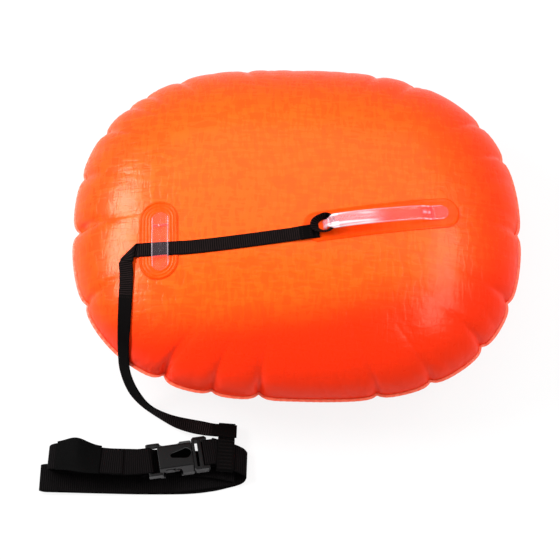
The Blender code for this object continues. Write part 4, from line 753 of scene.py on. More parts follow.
def across_seat(places, runs, width, lift, sides=None):
    """Edge points of a strap lying on the seat, lifted along the seat's own normal."""
    sides = unit(np.stack([-runs[:, 1], runs[:, 0]], 1) if sides is None else sides)
    edges = [on_seat(places + k * sides * width / 2) for k in (1, -1)]
    n = unit(np.cross(on_seat(places + runs * width / 8) - on_seat(places - runs * width / 8),
                      edges[0] - edges[1]))
    n *= np.sign(n[:, 2:])
    raised = np.maximum(((on_seat(places) - (edges[0] + edges[1]) / 2) * n).sum(1), 0)
    up = n * (raised + lift)[:, None]
    return edges[0] + up, edges[1] + up


def along_seat(place, step):
    """The direction along the seat from one step before a place to one step after it."""
    return unit([*(2 * step), float(seat(place + step) - seat(place - step))])


def clear_of_seat(place, n, span, gap):
    """A point over a place that clears the seat by a gap along n, for a span all round."""
    spread = np.linspace(-1, 1, 9)
    tries = on_seat(place + np.stack(np.meshgrid(spread, spread), -1).reshape(-1, 2) * span)
    base = np.append(place, float(seat(place)))
    return base + n * (max(((tries - base) @ n).max(), 0) + gap)


def leash_rows():
    """Edges from the handle to the belt, with the length of each part: lying, folded over at the
    corner, lying to the rim, falling."""
    corner, half = np.array(LEASH_CORNER), LEASH_WIDTH / 2
    top = even_rows([(*p, 0) for p in LEASH_ON_TOP + (LEASH_CORNER,)], LEASH_STEP)[:, :2]
    runs = unit(np.gradient(top, axis=0))
    kept = np.linalg.norm(top - corner, axis=1) > LEASH_WIDTH * 0.8
    top, runs = top[kept], runs[kept]
    lap = np.clip(1 - (np.linalg.norm(top - top[0], axis=1) - LAP) / LAP, 0, 1)
    parts = [across_seat(top, runs, LEASH_WIDTH, LEASH_LIFT + (LEASH_THICK + SEAT_GAP) * lap)]

    # The corner: flat strip rolled half a turn round a line that halves the angle.
    d1, d2 = (along_seat(corner, d * half) for d in
              (unit(corner - top[-1]), unit(np.array(LEASH_SHOULDER[0]) - corner)))
    n = unit(np.cross(d2, d1))
    n = n * np.sign(n[2])
    d1, d2 = unit(d1 - n * (d1 @ n)), unit(d2 - n * (d2 @ n))
    c = unit(d1 + d2)
    m = unit(d1 - c * (d1 @ c))
    across, r = np.cross(n, d1), (LEASH_THICK + FOLD_SPACE) / 2
    base = clear_of_seat(corner, n, half, LEASH_LIFT)

    def wrapped(q, p):
        """A place q along and p across the flat strip, rolled over the fold's line."""
        flat = q[:, None] * d1 + p * across
        g, e = flat @ c, flat @ m
        t = np.clip(e / r, 0, np.pi)
        ahead = np.where(e < 0, e, r * np.sin(t)) - np.clip(e - np.pi * r, 0, None)
        return base + g[:, None] * c + ahead[:, None] * m + (r - r * np.cos(t))[:, None] * n
    start = np.linspace(-LEASH_WIDTH * 0.62, -LEASH_WIDTH * 0.60, 2)
    finish = LEASH_WIDTH * 0.62 + np.pi * r / (d1 @ m) + np.linspace(-0.0003, 0, 2)
    turn = np.linspace(0, np.pi * r, 9)
    parts.append([wrapped(np.concatenate([start, (turn - p * (across @ m)) / (d1 @ m), finish]), p)
                  for p in (half, -half)])

    begin = (parts[1][0][-1] + parts[1][1][-1]) / 2
    shoulder = even_rows([(*begin[:2], 0)] + [(*p, 0) for p in LEASH_SHOULDER], LEASH_STEP)[1:, :2]
    runs = unit(np.gradient(shoulder, axis=0))
    turn = np.linspace(0, 1, len(shoulder) + 1)[1:, None]
    sides = (np.stack([runs[:, 1], -runs[:, 0]], 1) * (1 - turn ** 2)
             - np.array(LEASH_FALL[0][3:5]) * turn ** 2)
    first = (begin - on_seat(begin[None, :2])[0]) @ n - LEASH_LIFT
    away = np.linalg.norm(shoulder - begin[:2], axis=1)
    above = max(first, 0) * np.clip(1 - away / (2 * LEASH_WIDTH), 0, 1) ** 2
    rising = (LEASH_LIFT + SEAT_GAP * (1 + 3 * turn ** 2) * turn)[:, 0] + above
    parts.append(across_seat(shoulder, runs, LEASH_WIDTH, rising, sides))

    free = even_rows(LEASH_FALL, LEASH_STEP)
    along = unit(np.gradient(free[:, :3], axis=0))
    w = unit(free[:, 3:] - along * (free[:, 3:] * along).sum(1, keepdims=True))
    parts.append((free[:, :3] - w * half, free[:, :3] + w * half))
    return [np.vstack([p[i] for p in parts]) for i in (0, 1)], [len(p[0]) for p in parts]


def eased(rows, passes, keep=False):
    """Rows moved towards the mean of their neighbours, but for those that are kept."""
    for _ in range(passes):
        moved = rows.copy()
        moved[1:-1] = (rows[:-2] + 2 * rows[1:-1] + rows[2:]) / 4
        rows = np.where(keep, rows, moved)
    return rows


edges, counts = leash_rows()
still = np.zeros((len(edges[0]), 1), bool)
still[counts[0] - 1:counts[0] + counts[1] + 1] = True
still[:3] = still[-3:] = True
leash_lefts, leash_rights = (eased(e, 10, still) for e in edges)
leash_middle = (leash_lefts + leash_rights) / 2
LEASH_CLOTH = webbing("leash_webbing_black", (0.0008, 0.0005, 0.0005), (0.017, 0.0100, 0.0100),
                      LEASH_PICK, LEASH_WIDTH, smooth=SEWN)
leash = strap("leash_strip", leash_lefts, leash_rights, LEASH_THICK, LEASH_CLOTH,
              "leash_webbing", 10, swell=pick_ribs(LEASH_PICK, LEASH_PICK_HIGH))

# Handle loop. A short piece of the same webbing, bent into a ring on edge round the strap's steep
# leg and sewn flat under the leash's end. The lap is smooth, with two rows of stitches.
RING_PLACE = (0.0292, -0.0213)
RING_LOW, RING_HIGH, RING_HEIGHT = 0.0058, 0.0102, 0.0080
RING_DRAWN, RING_SAG = 0.0042, 0.0006       # drawn out towards the leash, and out of round
TONGUE_WIDTH, TONGUE_STEPS = 0.0148, 24

x, y = np.diag([RING_HIGH, RING_HIGH])
u = along_seat(np.array(RING_PLACE), x)
n = unit(np.cross(u, along_seat(np.array(RING_PLACE), y)))
v, base = np.cross(n, u), clear_of_seat(np.array(RING_PLACE), n, RING_HIGH, SEAT_GAP)
turn = np.linspace(0, 2 * np.pi, 97)[:-1, None]
spoke = u * np.cos(turn) + v * np.sin(turn)
sag = RING_SAG * np.sin(turn * 2 + 0.7) * np.sin(turn / 2) ** 2
low, high = (r + LEASH_THICK / 2 + sag for r in (RING_LOW, RING_HIGH))
drawn = np.maximum(-np.cos(turn - 0.18), 0) ** 3 * RING_DRAWN
strap("handle_loop_ring", base + spoke * (low + drawn * 0.1),
      base + spoke * (high + drawn) + n * (RING_HEIGHT - drawn * 0.6), LEASH_THICK, LEASH_CLOTH,
      "leash_handle_loop", 10, closed=True,
      normals=unit(spoke - n * ((RING_HIGH - RING_LOW) / RING_HEIGHT)))

SMOOTH_CLOTH = webbing("sewn_webbing_black", (0.0008, 0.0006, 0.0006), (0.0035, 0.0028, 0.0028),
                       0.0040, LEASH_WIDTH, deep=0.0003)
start = np.array(LEASH_ON_TOP[0])
back = unit(np.array(LEASH_ON_TOP[1]) - start)
places = start + back * np.linspace(LAP, -LEASH_WIDTH / 2, TONGUE_STEPS)[:, None]
strap("handle_loop_tongue",
      *across_seat(places, np.tile(back, (TONGUE_STEPS, 1)), TONGUE_WIDTH, LEASH_LIFT),
      LEASH_THICK, SMOOTH_CLOTH, "leash_handle_loop", 10)

# Waist belt. Heavier webbing, 30 mm wide, folded up in four layers beside the buoy as it comes out
# of its bag. The folds stay open, as stiff webbing's do, and the upper layers tip towards the
# front.
BELT_WIDTH, BELT_THICK, BELT_STEP = 0.030, 0.0016, 0.0006
BELT_PICK, BELT_PICK_HIGH = 0.0022, 0.00014
FOLD_DRAWN = 0.26               # how much narrower the webbing is drawn where it turns back
SMOOTHED_X = (-0.252, -0.200)   # where the first layer is smoothed, over its fold
SMOOTH_PASSES, DRAWN_PASSES = 400, 40
HUMP_X, HUMP_SPREAD, HUMP_RISE = -0.2290, 0.0150, (0.0, 0.0046, 0.0048)
LAYER, LIFT_DEGREES = 0.0020, 10.0
BUNDLE_LENGTH, BUNDLE_X, BUNDLE_Y = 0.212, -0.0490, -0.2480
# Each place's share along the bundle, its offset in belt widths, its height in layers, and its
# share of the upper layers' tip.
BELT_SHARES = (
    (0.858, 0.010, 11.3, 1.0), (0.905, 0.015, 10.9, 1.0), (0.950, 0.020, 9.9, 1.0),
    (0.983, 0.025, 8.3, 1.0), (0.996, 0.025, 6.4, 1.0), (0.985, 0.020, 4.6, 1.0),
    (0.950, 0.015, 3.35, 1.0), (0.880, 0.01, 2.85, 1.0), (0.700, 0.01, 2.55, 1.0),
    (0.480, 0.01, 2.45, 1.0), (0.280, 0.00, 2.60, 1.0), (0.160, -0.05, 3.10, 0.9),
    (0.095, -0.12, 3.55, 0.7), (0.064, -0.16, 3.45, 0.5), (0.054, -0.20, 2.75, 0.3),
    (0.064, -0.24, 2.00, 0.15), (0.100, -0.29, 1.62, 0.0), (0.180, -0.39, 1.56, 0.0),
    (0.300, -0.52, 1.56, 0.0), (0.450, -0.61, 1.56, 0.0), (0.700, -0.65, 1.60, 0.0),
    (0.900, -0.65, 2.35, 0.0), (0.985, -0.65, 2.95, 0.0), (1.030, -0.65, 2.45, 0.0),
    (1.037, -0.65, 1.60, 0.0), (1.022, -0.65, 0.75, 0.0), (0.970, -0.65, 0.48, 0.0),
    (0.700, -0.65, 0.46, 0.0), (0.500, -0.64, 0.46, 0.0), (0.300, -0.59, 0.46, 0.0),
    (0.180, -0.48, 0.46, 0.0), (0.090, -0.32, 0.46, 0.0), (0.035, -0.20, 0.70, 0.1),
    (0.004, -0.10, 1.90, 0.3), (-0.004, -0.02, 3.80, 0.6), (0.010, 0.06, 5.70, 0.8),
    (0.040, 0.14, 6.95, 1.0), (0.085, 0.24, 7.55, 1.0), (0.130, 0.32, 7.85, 1.0))
# The buckle's own axes, and the places of its bars along them.
BUCKLE_YAW, BUCKLE_PITCH, BUCKLE_ROLL = 10.5, 3.0, -12.0
buckle_axes = np.array((Matrix.Rotation(math.radians(BUCKLE_YAW), 4, "Z")
                        @ Matrix.Rotation(math.radians(BUCKLE_PITCH), 4, "Y")
                        @ Matrix.Rotation(math.radians(BUCKLE_ROLL), 4, "X")).to_3x3())
BUCKLE_PLACE = np.array([-0.1215, -0.2443, 0.0150])
BODY_BACK, FEMALE_BAR, MALE_BAR = -0.0210, -0.0310, 0.0309
BAR_RADIUS, WRAP_GAP = 0.0020, 0.0003
WRAP_EASE = 1.22                # the wrap round the male bar is loose and fills the slot
MALE_LEG, FEMALE_UNDER = 0.008, 0.010     # how far the webbing runs on below each bar
LAP_LENGTH, LAP_SPACE, BEND = 0.012, 0.0038, math.tan(math.radians(12.9))
RELEASE_TRAVEL = 0.034
MAIN_END = BODY_BACK - RELEASE_TRAVEL - LAP_SPACE
WRAP_UP = BAR_RADIUS + WRAP_GAP + BELT_THICK / 2
MAIN_UP = WRAP_UP + BELT_THICK + WRAP_GAP
FEMALE_LEG = FEMALE_BAR - (MAIN_END - LAP_LENGTH)


def in_buckle(x, y, z):
    """Places given along the buckle's own axes."""
    return BUCKLE_PLACE + np.stack(np.broadcast_arrays(x, y, z), -1) @ buckle_axes.T


def bar_wrap(bar, toward, long_leg, short_leg):
    """A strap's middle round a bar: in along the top, half a turn, and out below."""
    turn = np.linspace(0, np.pi, 25)[1:-1]
    x = np.r_[bar + toward * np.linspace(long_leg, 0, 24), bar - toward * WRAP_UP * np.sin(turn),
              bar + toward * np.linspace(0, short_leg, 12)]
    return x, np.r_[np.full(24, WRAP_UP), WRAP_UP * np.cos(turn), np.full(12, -WRAP_UP)]


def belt_rows():
    """The belt from its lap on the female end, through every fold, to the male half's bar: its
    middle, both edges and its normals."""
    x = np.linspace(MAIN_END, MAIN_END - LAP_LENGTH - RELEASE_TRAVEL, 8)
    away = FEMALE_BAR - x
    y = BEND * np.minimum(away, FEMALE_LEG) ** 2 / FEMALE_LEG / 2 + np.maximum(
        away - FEMALE_LEG, 0) * BEND
    tilt = np.arctan(BEND * np.minimum(away / FEMALE_LEG, 1))
    lead = in_buckle(x, y, MAIN_UP)
    lead_sides = np.stack([np.sin(tilt), np.cos(tilt), 0 * tilt], 1) @ buckle_axes.T
    along, across, up, lift = np.array(BELT_SHARES).T
    folds = np.stack([BUNDLE_X - along * BUNDLE_LENGTH, BUNDLE_Y + across * BELT_WIDTH,
                      up * LAYER], 1)
    a = np.radians(lift * LIFT_DEGREES)
    fold_sides = np.stack([0 * a, np.cos(a), -np.sin(a)], 1)
    wrap_x, wrap_z = bar_wrap(MALE_BAR, 1, MALE_LEG, MALE_LEG)
    wrap_x = np.minimum(wrap_x, MALE_BAR + (wrap_x - MALE_BAR) * WRAP_EASE)
    wrap, side = in_buckle(wrap_x, 0, wrap_z), buckle_axes[:, 1]
    rows = even_rows(np.hstack([np.vstack([lead, folds, wrap[:1]]),
                                np.vstack([lead_sides, fold_sides, side])]), BELT_STEP)
    first = (np.arange(len(rows)) < int(np.argmin(rows[:len(rows) // 3, 0])))[:, None]
    far, near = SMOOTHED_X
    rows = eased(rows, SMOOTH_PASSES, ~(first & (rows[:, :1] < near) & (rows[:, :1] > far)))
    points = np.vstack([rows[:, :3], wrap[1:]])
    sides = unit(np.vstack([rows[:, 3:], np.tile(side, (len(wrap) - 1, 1))]))
    along = unit(np.gradient(points, axis=0))
    square = np.cross(along, sides)
    half = BELT_WIDTH / 2 / np.linalg.norm(square, axis=1, keepdims=True)
    turning = (1 - np.abs(along[:len(rows), :1])) ** 1.4
    half[:len(rows)] *= 1 - FOLD_DRAWN * eased(turning, DRAWN_PASSES)
    lefts, rights = points + sides * half, points - sides * half
    hump = np.exp(-((points[:, :1] - HUMP_X) / HUMP_SPREAD) ** 2)
    hump *= np.pad(first, ((0, len(points) - len(rows)), (0, 0)))
    lefts = lefts + hump * np.array(HUMP_RISE)
    return (lefts + rights) / 2, lefts, rights, unit(square)


BELT_CLOTH = webbing("belt_webbing_black", (0.0005, 0.0004, 0.0004), (0.0060, 0.0046, 0.0050),
                     BELT_PICK, BELT_WIDTH, deep=0.0004)
belt_middle, belt_lefts, belt_rights, belt_normals = belt_rows()
strap("belt_strip", belt_lefts, belt_rights, BELT_THICK, BELT_CLOTH, "belt_webbing", 12,
      normals=belt_normals, swell=pick_ribs(BELT_PICK, BELT_PICK_HIGH))

# Female half's webbing end. It goes over the female bar and is sewn to itself below. It is a piece
# of its own here, because it comes away with that half of the buckle.
x, z = bar_wrap(FEMALE_BAR, -1, FEMALE_LEG, FEMALE_UNDER)
away = np.where((z > 0) & (x < FEMALE_BAR), FEMALE_BAR - x, 0)
y, tilt = BEND * away ** 2 / FEMALE_LEG / 2, np.arctan(BEND * away / FEMALE_LEG)
shift = BELT_WIDTH / 2
lefts, rights = (in_buckle(x + k * shift * np.sin(tilt), y + k * shift * np.cos(tilt), z)
                 for k in (1, -1))
rows = even_rows(np.hstack([(lefts + rights) / 2, lefts - rights]), BELT_STEP)
strap("female_end_strip", rows[:, :3] + rows[:, 3:] / 2, rows[:, :3] - rows[:, 3:] / 2, BELT_THICK,
      BELT_CLOTH, "belt_female_end", 12, swell=pick_ribs(BELT_PICK, BELT_PICK_HIGH),
      body="female_half")

# Tab. A wider, smooth piece of fine black twill, sewn over the belt near its left fold with a
# fine row of stitches round its edge.
TAB_WIDTH, TAB_LENGTH, TAB_THICK, TAB_START, TAB_GAP = 0.0325, 0.048, 0.0010, -0.203, 0.0003
TWILL, TAB_STITCH, TAB_ROW_IN = 0.0007, 0.0028, 0.0022
tab_cloth = Finish("tab_black", (0.0010, 0.0009, 0.0010), 0.5, Specular_IOR_Level=0.02)
u, v, _ = tab_cloth.place("UV")
twill = (u + v).wave(TWILL)
row = u.math("ABSOLUTE").near(((TAB_WIDTH / 2 - TAB_ROW_IN, 0.0005),), 0.4)
stitch = row * v.wave(TAB_STITCH).step(0.25, 0.5)
tab_cloth.set(Base_Color=tab_cloth.blend(twill * 0.4 + stitch * 0.6, (0.0004, 0.0004, 0.0004),
                                         (0.0026, 0.0024, 0.0025)),
              Roughness=0.45 + twill * 0.1)
tab_cloth.bump(twill * 0.3 + stitch * 0.7, 0.0003, 0.7)
first = int(np.argmax(belt_middle[:, 0] < TAB_START))
chosen = slice(first, first + int(np.argmax(run_along(belt_middle[first:]) > TAB_LENGTH)) + 1)
outward = belt_normals[chosen] * np.sign(belt_normals[chosen][:1, 2])
tab_side = (belt_lefts[chosen] - belt_rights[chosen]) / BELT_WIDTH * TAB_WIDTH / 2
tab_middle = belt_middle[chosen] + outward * (BELT_THICK / 2 + TAB_GAP + TAB_THICK / 2)
strap("belt_label", tab_middle + tab_side, tab_middle - tab_side, TAB_THICK, tab_cloth,
      "belt_tab", 12, normals=outward, slot="black_tab")

# Belt loop. The leash's end is sewn to a flat band of the smooth webbing that goes round the belt,
# closed by a stitched square beyond the belt's far edge.
LOOP_X, LOOP_WIDTH, LOOP_REACH, LOOP_JOIN, LOOP_EASE = -0.0705, 0.018, 0.0360, 0.0188, 0.0012
LOOP_SHUT = 0.00015             # half the space between the band's two ends
half_way = len(belt_middle) // 2
turned_at = half_way + int(np.argmax(belt_middle[half_way:, 0]))
i = turned_at + int(np.argmin(np.abs(belt_middle[turned_at:-60, 0] - LOOP_X)))
p, w = belt_middle[i], unit(belt_lefts[i] - belt_rights[i])
n = belt_normals[i] * np.sign(belt_normals[i][2])
t = np.cross(w, n)
r = BELT_THICK / 2 + LOOP_EASE + LEASH_THICK / 2
half, flat = BELT_WIDTH / 2 + LOOP_EASE, LEASH_THICK / 2 + LOOP_SHUT
turn = np.linspace(0, np.pi, 17)[1:-1]
level, out = np.linspace(half, -half, 16), np.linspace(LOOP_JOIN, LOOP_REACH, 12)
share = np.linspace(0, 1, 8)[1:-1]
ease, ramp = (1 - np.cos(np.pi * share)) / 2, half + (LOOP_JOIN - half) * share
# Over the belt, round its near edge, back below, and out along the stitched square and back.
across = np.r_[level, -half - r * np.sin(turn), level[::-1], ramp, out, out[::-1], ramp[::-1]]
up = np.r_[0 * level + r, r * np.cos(turn), 0 * level - r, -r + (r - flat) * ease, 0 * out - flat,
           0 * out + flat, flat + (r - flat) * ease]
ring_path = p + across[:, None] * w + up[:, None] * n
ahead = np.roll(ring_path, -1, 0) - np.roll(ring_path, 1, 0)
strap("belt_loop_band", ring_path + t * LOOP_WIDTH / 2, ring_path - t * LOOP_WIDTH / 2,
      LEASH_THICK, SMOOTH_CLOTH, "leash_belt_loop", 10, normals=unit(np.cross(ahead, t)),
      closed=True)

# Buckle. A side-release buckle in black acetal. Its female half is a hollow shell with sloping
# sides, an arched window in each for the pads, and a drop-shaped opening in the upper plate. The
# male half has a guide tongue and two springy arms. The faces have a fine moulded grain.
acetal = Finish("acetal_black", (0.003, 0.003, 0.003), 0.36, Specular_IOR_Level=0.10)
grain, smear = acetal.noise(1500), acetal.noise(90)
# Painted light: faces that turn towards the front are painted grey, where light from the front
# falls.
wear_and_sheen = (acetal.place("Normal")[1] * -1.0).step(0.30, 0.85)
acetal.set(Roughness=0.26 + grain * 0.10 + smear * 0.12,
           Base_Color=acetal.blend(wear_and_sheen * (0.75 + smear * 0.5), (0.0016, 0.0015, 0.0016),
                                   (0.100, 0.097, 0.099)))
acetal.bump(grain, 0.00008, 0.4)
# A flat black without shine, for painted shade inside the buckle.
shade_black_finish = Finish("painted_shade_black", (0.0004, 0.0004, 0.0004), 0.9, Specular_IOR_Level=0.0)

SHELL_BACK, SHELL_MOUTH = BODY_BACK, 0.0160
SHELL_HALF, SHELL_TOP_HALF, SHELL_UP, SHELL_WALL = 0.0193, 0.0128, 0.0060, 0.0018
SHELL_KNEE, SHELL_CORNERS = -0.0008, 14
SHELL_STATIONS, SHELL_SIDES = 120, 360
SHELL_NARROWS, SHELL_ROUND = 0.05, 0.0005   # share drawn in at both ends, and how soon
LINED_FROM = 0.0020             # the shell is solid before this
# Middles and half sizes along and up, and the radii of the openings' ends.
WINDOW_AT, WINDOW_HALF, WINDOW_ROUND = (-0.0070, -0.0012), (0.0105, 0.0056), 0.0044
DROP_FROM, DROP_TO = (-0.0045, 0.0010, 0.0032), (0.0084, 0.0022, 0.0064)
WINDOWS_BEYOND, DROP_ABOVE = 0.0132, 0.0040
SNAP = 0.0006                   # how near an opening's edge a point is moved onto it
RAIL_MIDDLE, RAIL_HALF = (-0.0256, 0.01755, -0.0004), (0.0076, 0.0019, 0.0034)
BAR_HALF = 0.0170
BLOCK_RINGS, BLOCK_SIDES, ROD_SIDES = 26, 40, 32
SHADE_SHEET_MIDDLE, SHADE_SHEET_HALF = (0.0030, 0.0004, 0.0034), (0.0122, 0.0089, 0.0003)
PAD_MIDDLE, PAD_HALF = (-0.0108, 0.0128, 0), (0.0060, 0.0025, 0.0034)


def shell_section(inward):
    """Floor, upright foot of the sides, sloping sides and upper plate, with soft corners."""
    a, t, b = SHELL_HALF - inward, SHELL_TOP_HALF - inward * 0.4, SHELL_UP - inward
    corners = np.array([(0, -b), (a, -b), (a, SHELL_KNEE), (t, b), (-t, b), (-a, SHELL_KNEE),
                        (-a, -b), (0, -b)])
    run = run_along(corners)
    loop = at_runs(np.linspace(0, run[-1], SHELL_SIDES, endpoint=False), run, corners)
    for _ in range(SHELL_CORNERS):
        loop = (np.roll(loop, 1, 0) + 2 * loop + np.roll(loop, -1, 0)) / 4
    return loop


def off_openings(p):
    """Distance outside the side windows and the drop-shaped opening, less than nothing inside."""
    q = np.abs(p[..., ::2] - WINDOW_AT) - WINDOW_HALF + WINDOW_ROUND
    window = np.linalg.norm(np.maximum(q, 0), axis=-1) + np.minimum(q.max(-1), 0) - WINDOW_ROUND
    start, end = np.array(DROP_FROM), np.array(DROP_TO)
    t = np.clip((p[..., 0] - start[0]) / (end[0] - start[0]), 0, 1)[..., None]
    ball = start + (end - start) * t
    drop = np.linalg.norm(p[..., :2] - ball[..., :2], axis=-1) - ball[..., 2]
    window = np.where(np.abs(p[..., 1]) > WINDOWS_BEYOND, window, 1.0)
    return np.minimum(window, np.where(p[..., 2] > DROP_ABOVE, drop, 1.0))


def female_shell():
    """Outer and inner skins on one grid, with the cells of the openings left out and walled. The
    points round an opening are moved onto its edge."""
    x = np.linspace(SHELL_BACK, SHELL_MOUTH, SHELL_STATIONS)
    rim = SHELL_NARROWS * np.exp(-np.minimum(x - SHELL_BACK, SHELL_MOUTH - x) / SHELL_ROUND)
    skins = []
    for inward, k in ((0.0, 1 - rim), (SHELL_WALL, 1 + rim * (x >= 0))):
        loop = shell_section(inward)
        skins.append(np.stack(np.broadcast_arrays(x[:, None], loop[:, 0] * k[:, None],
                                                  loop[:, 1] * k[:, None]), -1))
    outer = skins[0]
    middles = (outer[:-1] + outer[1:]) / 2
    gone = off_openings((middles + np.roll(middles, -1, 1)) / 2) < 0
    around = np.pad(gone, ((1, 1), (0, 0)), mode="edge")
    touch = [around[i:i + SHELL_STATIONS] for i in (0, 1)]
    touch += [np.roll(t, 1, 1) for t in touch]
    edge = np.any(touch, axis=0) & ~np.all(touch, axis=0)
    step, off = 1e-5, off_openings(outer)
    slope = np.stack([(off_openings(outer + step * axis) - off) / step for axis in np.eye(3)], -1)
    shift = np.where((edge & (np.abs(off) < SNAP))[..., None], -off[..., None] * slope, 0)
    i, k = np.meshgrid(np.arange(SHELL_STATIONS), np.arange(SHELL_SIDES), indexing="ij")
    out, out_j = i * SHELL_SIDES + k, i * SHELL_SIDES + (k + 1) % SHELL_SIDES
    inn, inn_j = (a + SHELL_STATIONS * SHELL_SIDES for a in (out, out_j))
    first = int(np.argmax(x > SHELL_BACK + LINED_FROM))
    lined = ~gone & (i[:-1] >= first)
    side_on, step_on = gone != np.roll(gone, 1, 1), gone[1:] != gone[:-1]
    faces = np.vstack([
        np.stack([out[:-1], out[1:], out_j[1:], out_j[:-1]], -1)[~gone],
        np.stack([inn[:-1], inn_j[:-1], inn_j[1:], inn[1:]], -1)[lined],
        np.stack([out[-1], inn[-1], inn_j[-1], out_j[-1]], -1),
        np.stack([out[:-1], out[1:], inn[1:], inn[:-1]], -1)[side_on],
        np.stack([out[1:-1], out_j[1:-1], inn_j[1:-1], inn[1:-1]], -1)[step_on]]).tolist()
    faces += [out[0].tolist(), inn[first][::-1].tolist()]
    return np.vstack([(s + shift).reshape(-1, 3) for s in skins]), faces


def round_block(middle, half, side=1, power=6.0):
    """A block with soft edges: a superellipsoid with its poles cut off flat, on either side."""
    def bent(t):
        return np.sign(t) * np.abs(t) ** (2 / power)
    u = np.linspace(-1.566, 1.566, BLOCK_RINGS)[:, None]
    v = np.linspace(0, 2 * np.pi, BLOCK_SIDES, endpoint=False)
    grid = np.stack(np.broadcast_arrays(bent(np.sin(u)), bent(np.cos(u)) * bent(np.cos(v)),
                                        bent(np.cos(u)) * bent(np.sin(v))), -1)
    points = grid * half + np.array(middle) * (1, side, 1)
    faces = ring_faces(BLOCK_RINGS, BLOCK_SIDES) + end_faces(BLOCK_RINGS, BLOCK_SIDES)
    return points.reshape(-1, 3), faces


def cross_rod(x, half, radius):
    """A round bar across the buckle: a circle at each end."""
    t = np.linspace(0, 2 * np.pi, ROD_SIDES, endpoint=False)
    rings = [np.stack([x + radius * np.cos(t), 0 * t + y, radius * np.sin(t)], -1)
             for y in (-half, half)]
    return np.vstack(rings), ring_faces(2, ROD_SIDES) + end_faces(2, ROD_SIDES)


def in_acetal(name, parts, node, body, finish=acetal):
    """Parts in the buckle's own axes, put in their place as one piece."""
    firsts = np.cumsum([0] + [len(points) for points, _ in parts])
    faces = [[first + k for k in face] for first, (_, some) in zip(firsts, parts) for face in some]
    piece = put_mesh(name, in_buckle(*np.vstack([points for points, _ in parts]).T), faces, finish)
    dress(faced_out(piece), node, body)


in_acetal("female_shell", [female_shell(), round_block(RAIL_MIDDLE, RAIL_HALF, -1),
                           round_block(RAIL_MIDDLE, RAIL_HALF),
                           cross_rod(FEMALE_BAR, BAR_HALF, BAR_RADIUS)],
          "buckle_female", "female_half")
# Painted shade: a thin black sheet inside the female shell, under the drop-shaped opening, darkens
# what shows through it.
in_acetal("shade_sheet", [round_block(SHADE_SHEET_MIDDLE, SHADE_SHEET_HALF)], "buckle_female", "female_half",
          shade_black_finish)


def moulded(name, node, finish, round_off, body):
    """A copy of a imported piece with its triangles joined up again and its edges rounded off."""
    mesh = nodes[node].data.copy()
    mesh.name = name
    work = bmesh.new()
    work.from_mesh(mesh)
    bmesh.ops.remove_doubles(work, verts=work.verts[:], dist=1e-6)
    bmesh.ops.dissolve_limit(work, angle_limit=math.radians(1.0), verts=work.verts[:],
                             edges=work.edges[:])
    work.to_mesh(mesh)
    work.free()
    mesh.materials.clear()
    mesh.materials.append(finish.material)
    mesh.shade_smooth()
    piece = in_scene(name, mesh)
    bevel = piece.modifiers.new("rounded", "BEVEL")
    bevel.width, bevel.segments = round_off, 3
    bevel.limit_method, bevel.angle_limit = "ANGLE", math.radians(35)
    bevel.harden_normals = True
    dress(piece, node, body)


moulded("male_frame", "buckle_male", acetal, 0.0005, "buoy")
for side, node, body in ((-1, "release_near", "near_arm"), (1, "release_far", "far_arm")):
    moulded(node + "_spring", node, acetal, 0.0004, body)
    in_acetal(node + "_pad", [round_block(PAD_MIDDLE, PAD_HALF, side, power=3.0)], node, body)

# Valve. Soft clear vinyl, turned round one axis: a flange welded on the back panel with a short
# neck, a plug with a domed head, and the thin one-way flap over the neck's inner end.
VALVE_AT = np.array([0.16528, -0.08509, 0.01973])
VALVE_AXES = np.array([[0.95847, 0.0, 0.28518], [-0.04684, -0.98642, 0.15742],
                       [0.28131, -0.16424, -0.94546]])
NECK_OUTSIDE, NECK_BORE, NECK_OUT, NECK_IN = 0.0065, 0.0040, 0.0050, 0.0080
FLANGE_RADIUS, FLANGE_THICK = 0.0150, 0.0012
PLUG_SEAT = NECK_OUT + 0.0003
VALVE_TURNS = 96
VINYL = Finish("clear_vinyl_valve", (0.93, 0.95, 0.96), 0.14, IOR=1.45, Transmission_Weight=0.8,
               Specular_IOR_Level=0.5)
swirl = VINYL.noise(180, 2.0)
VINYL.set(Roughness=swirl * 0.2 + 0.08)
VINYL.bump(swirl, 0.0002, 0.4)


def turned_piece(name, profile, up, node, body, closed=False):
    """A solid turned round the valve's axis from radius and height pairs, set this far up it."""
    turn = np.linspace(0, 2 * np.pi, VALVE_TURNS + 1)[:-1]
    r, h = np.array(profile).T
    spoke = np.cos(turn)[:, None] * VALVE_AXES[0] + np.sin(turn)[:, None] * VALVE_AXES[1]
    grid = VALVE_AT + VALVE_AXES[2] * up + spoke[:, None] * r[:, None] + VALVE_AXES[2] * h[:, None]
    sides = len(profile)
    faces = ring_faces(VALVE_TURNS, sides, closed=True)
    if not closed:
        faces = [face for face in faces if face[0] % sides < sides - 1]
        faces += [[i * sides for i in range(VALVE_TURNS)],
                  [i * sides + sides - 1 for i in range(VALVE_TURNS)][::-1]]
    piece = put_mesh(name, grid.reshape(-1, 3), faces, VINYL)
    dress(faced_out(piece), node, body)


def fillet(r0, h0, r1, h1, bulge):
    """Places on a quarter round between two corners; bulge picks which corner it hugs."""
    cr, ch = (r0, h1) if bulge else (r1, h0)
    return [(cr + (r1 - cr) * math.sin(a) + (r0 - cr) * math.cos(a),
             ch + (h1 - ch) * math.sin(a) + (h0 - ch) * math.cos(a))
            for a in np.linspace(0, np.pi / 2, 6)]


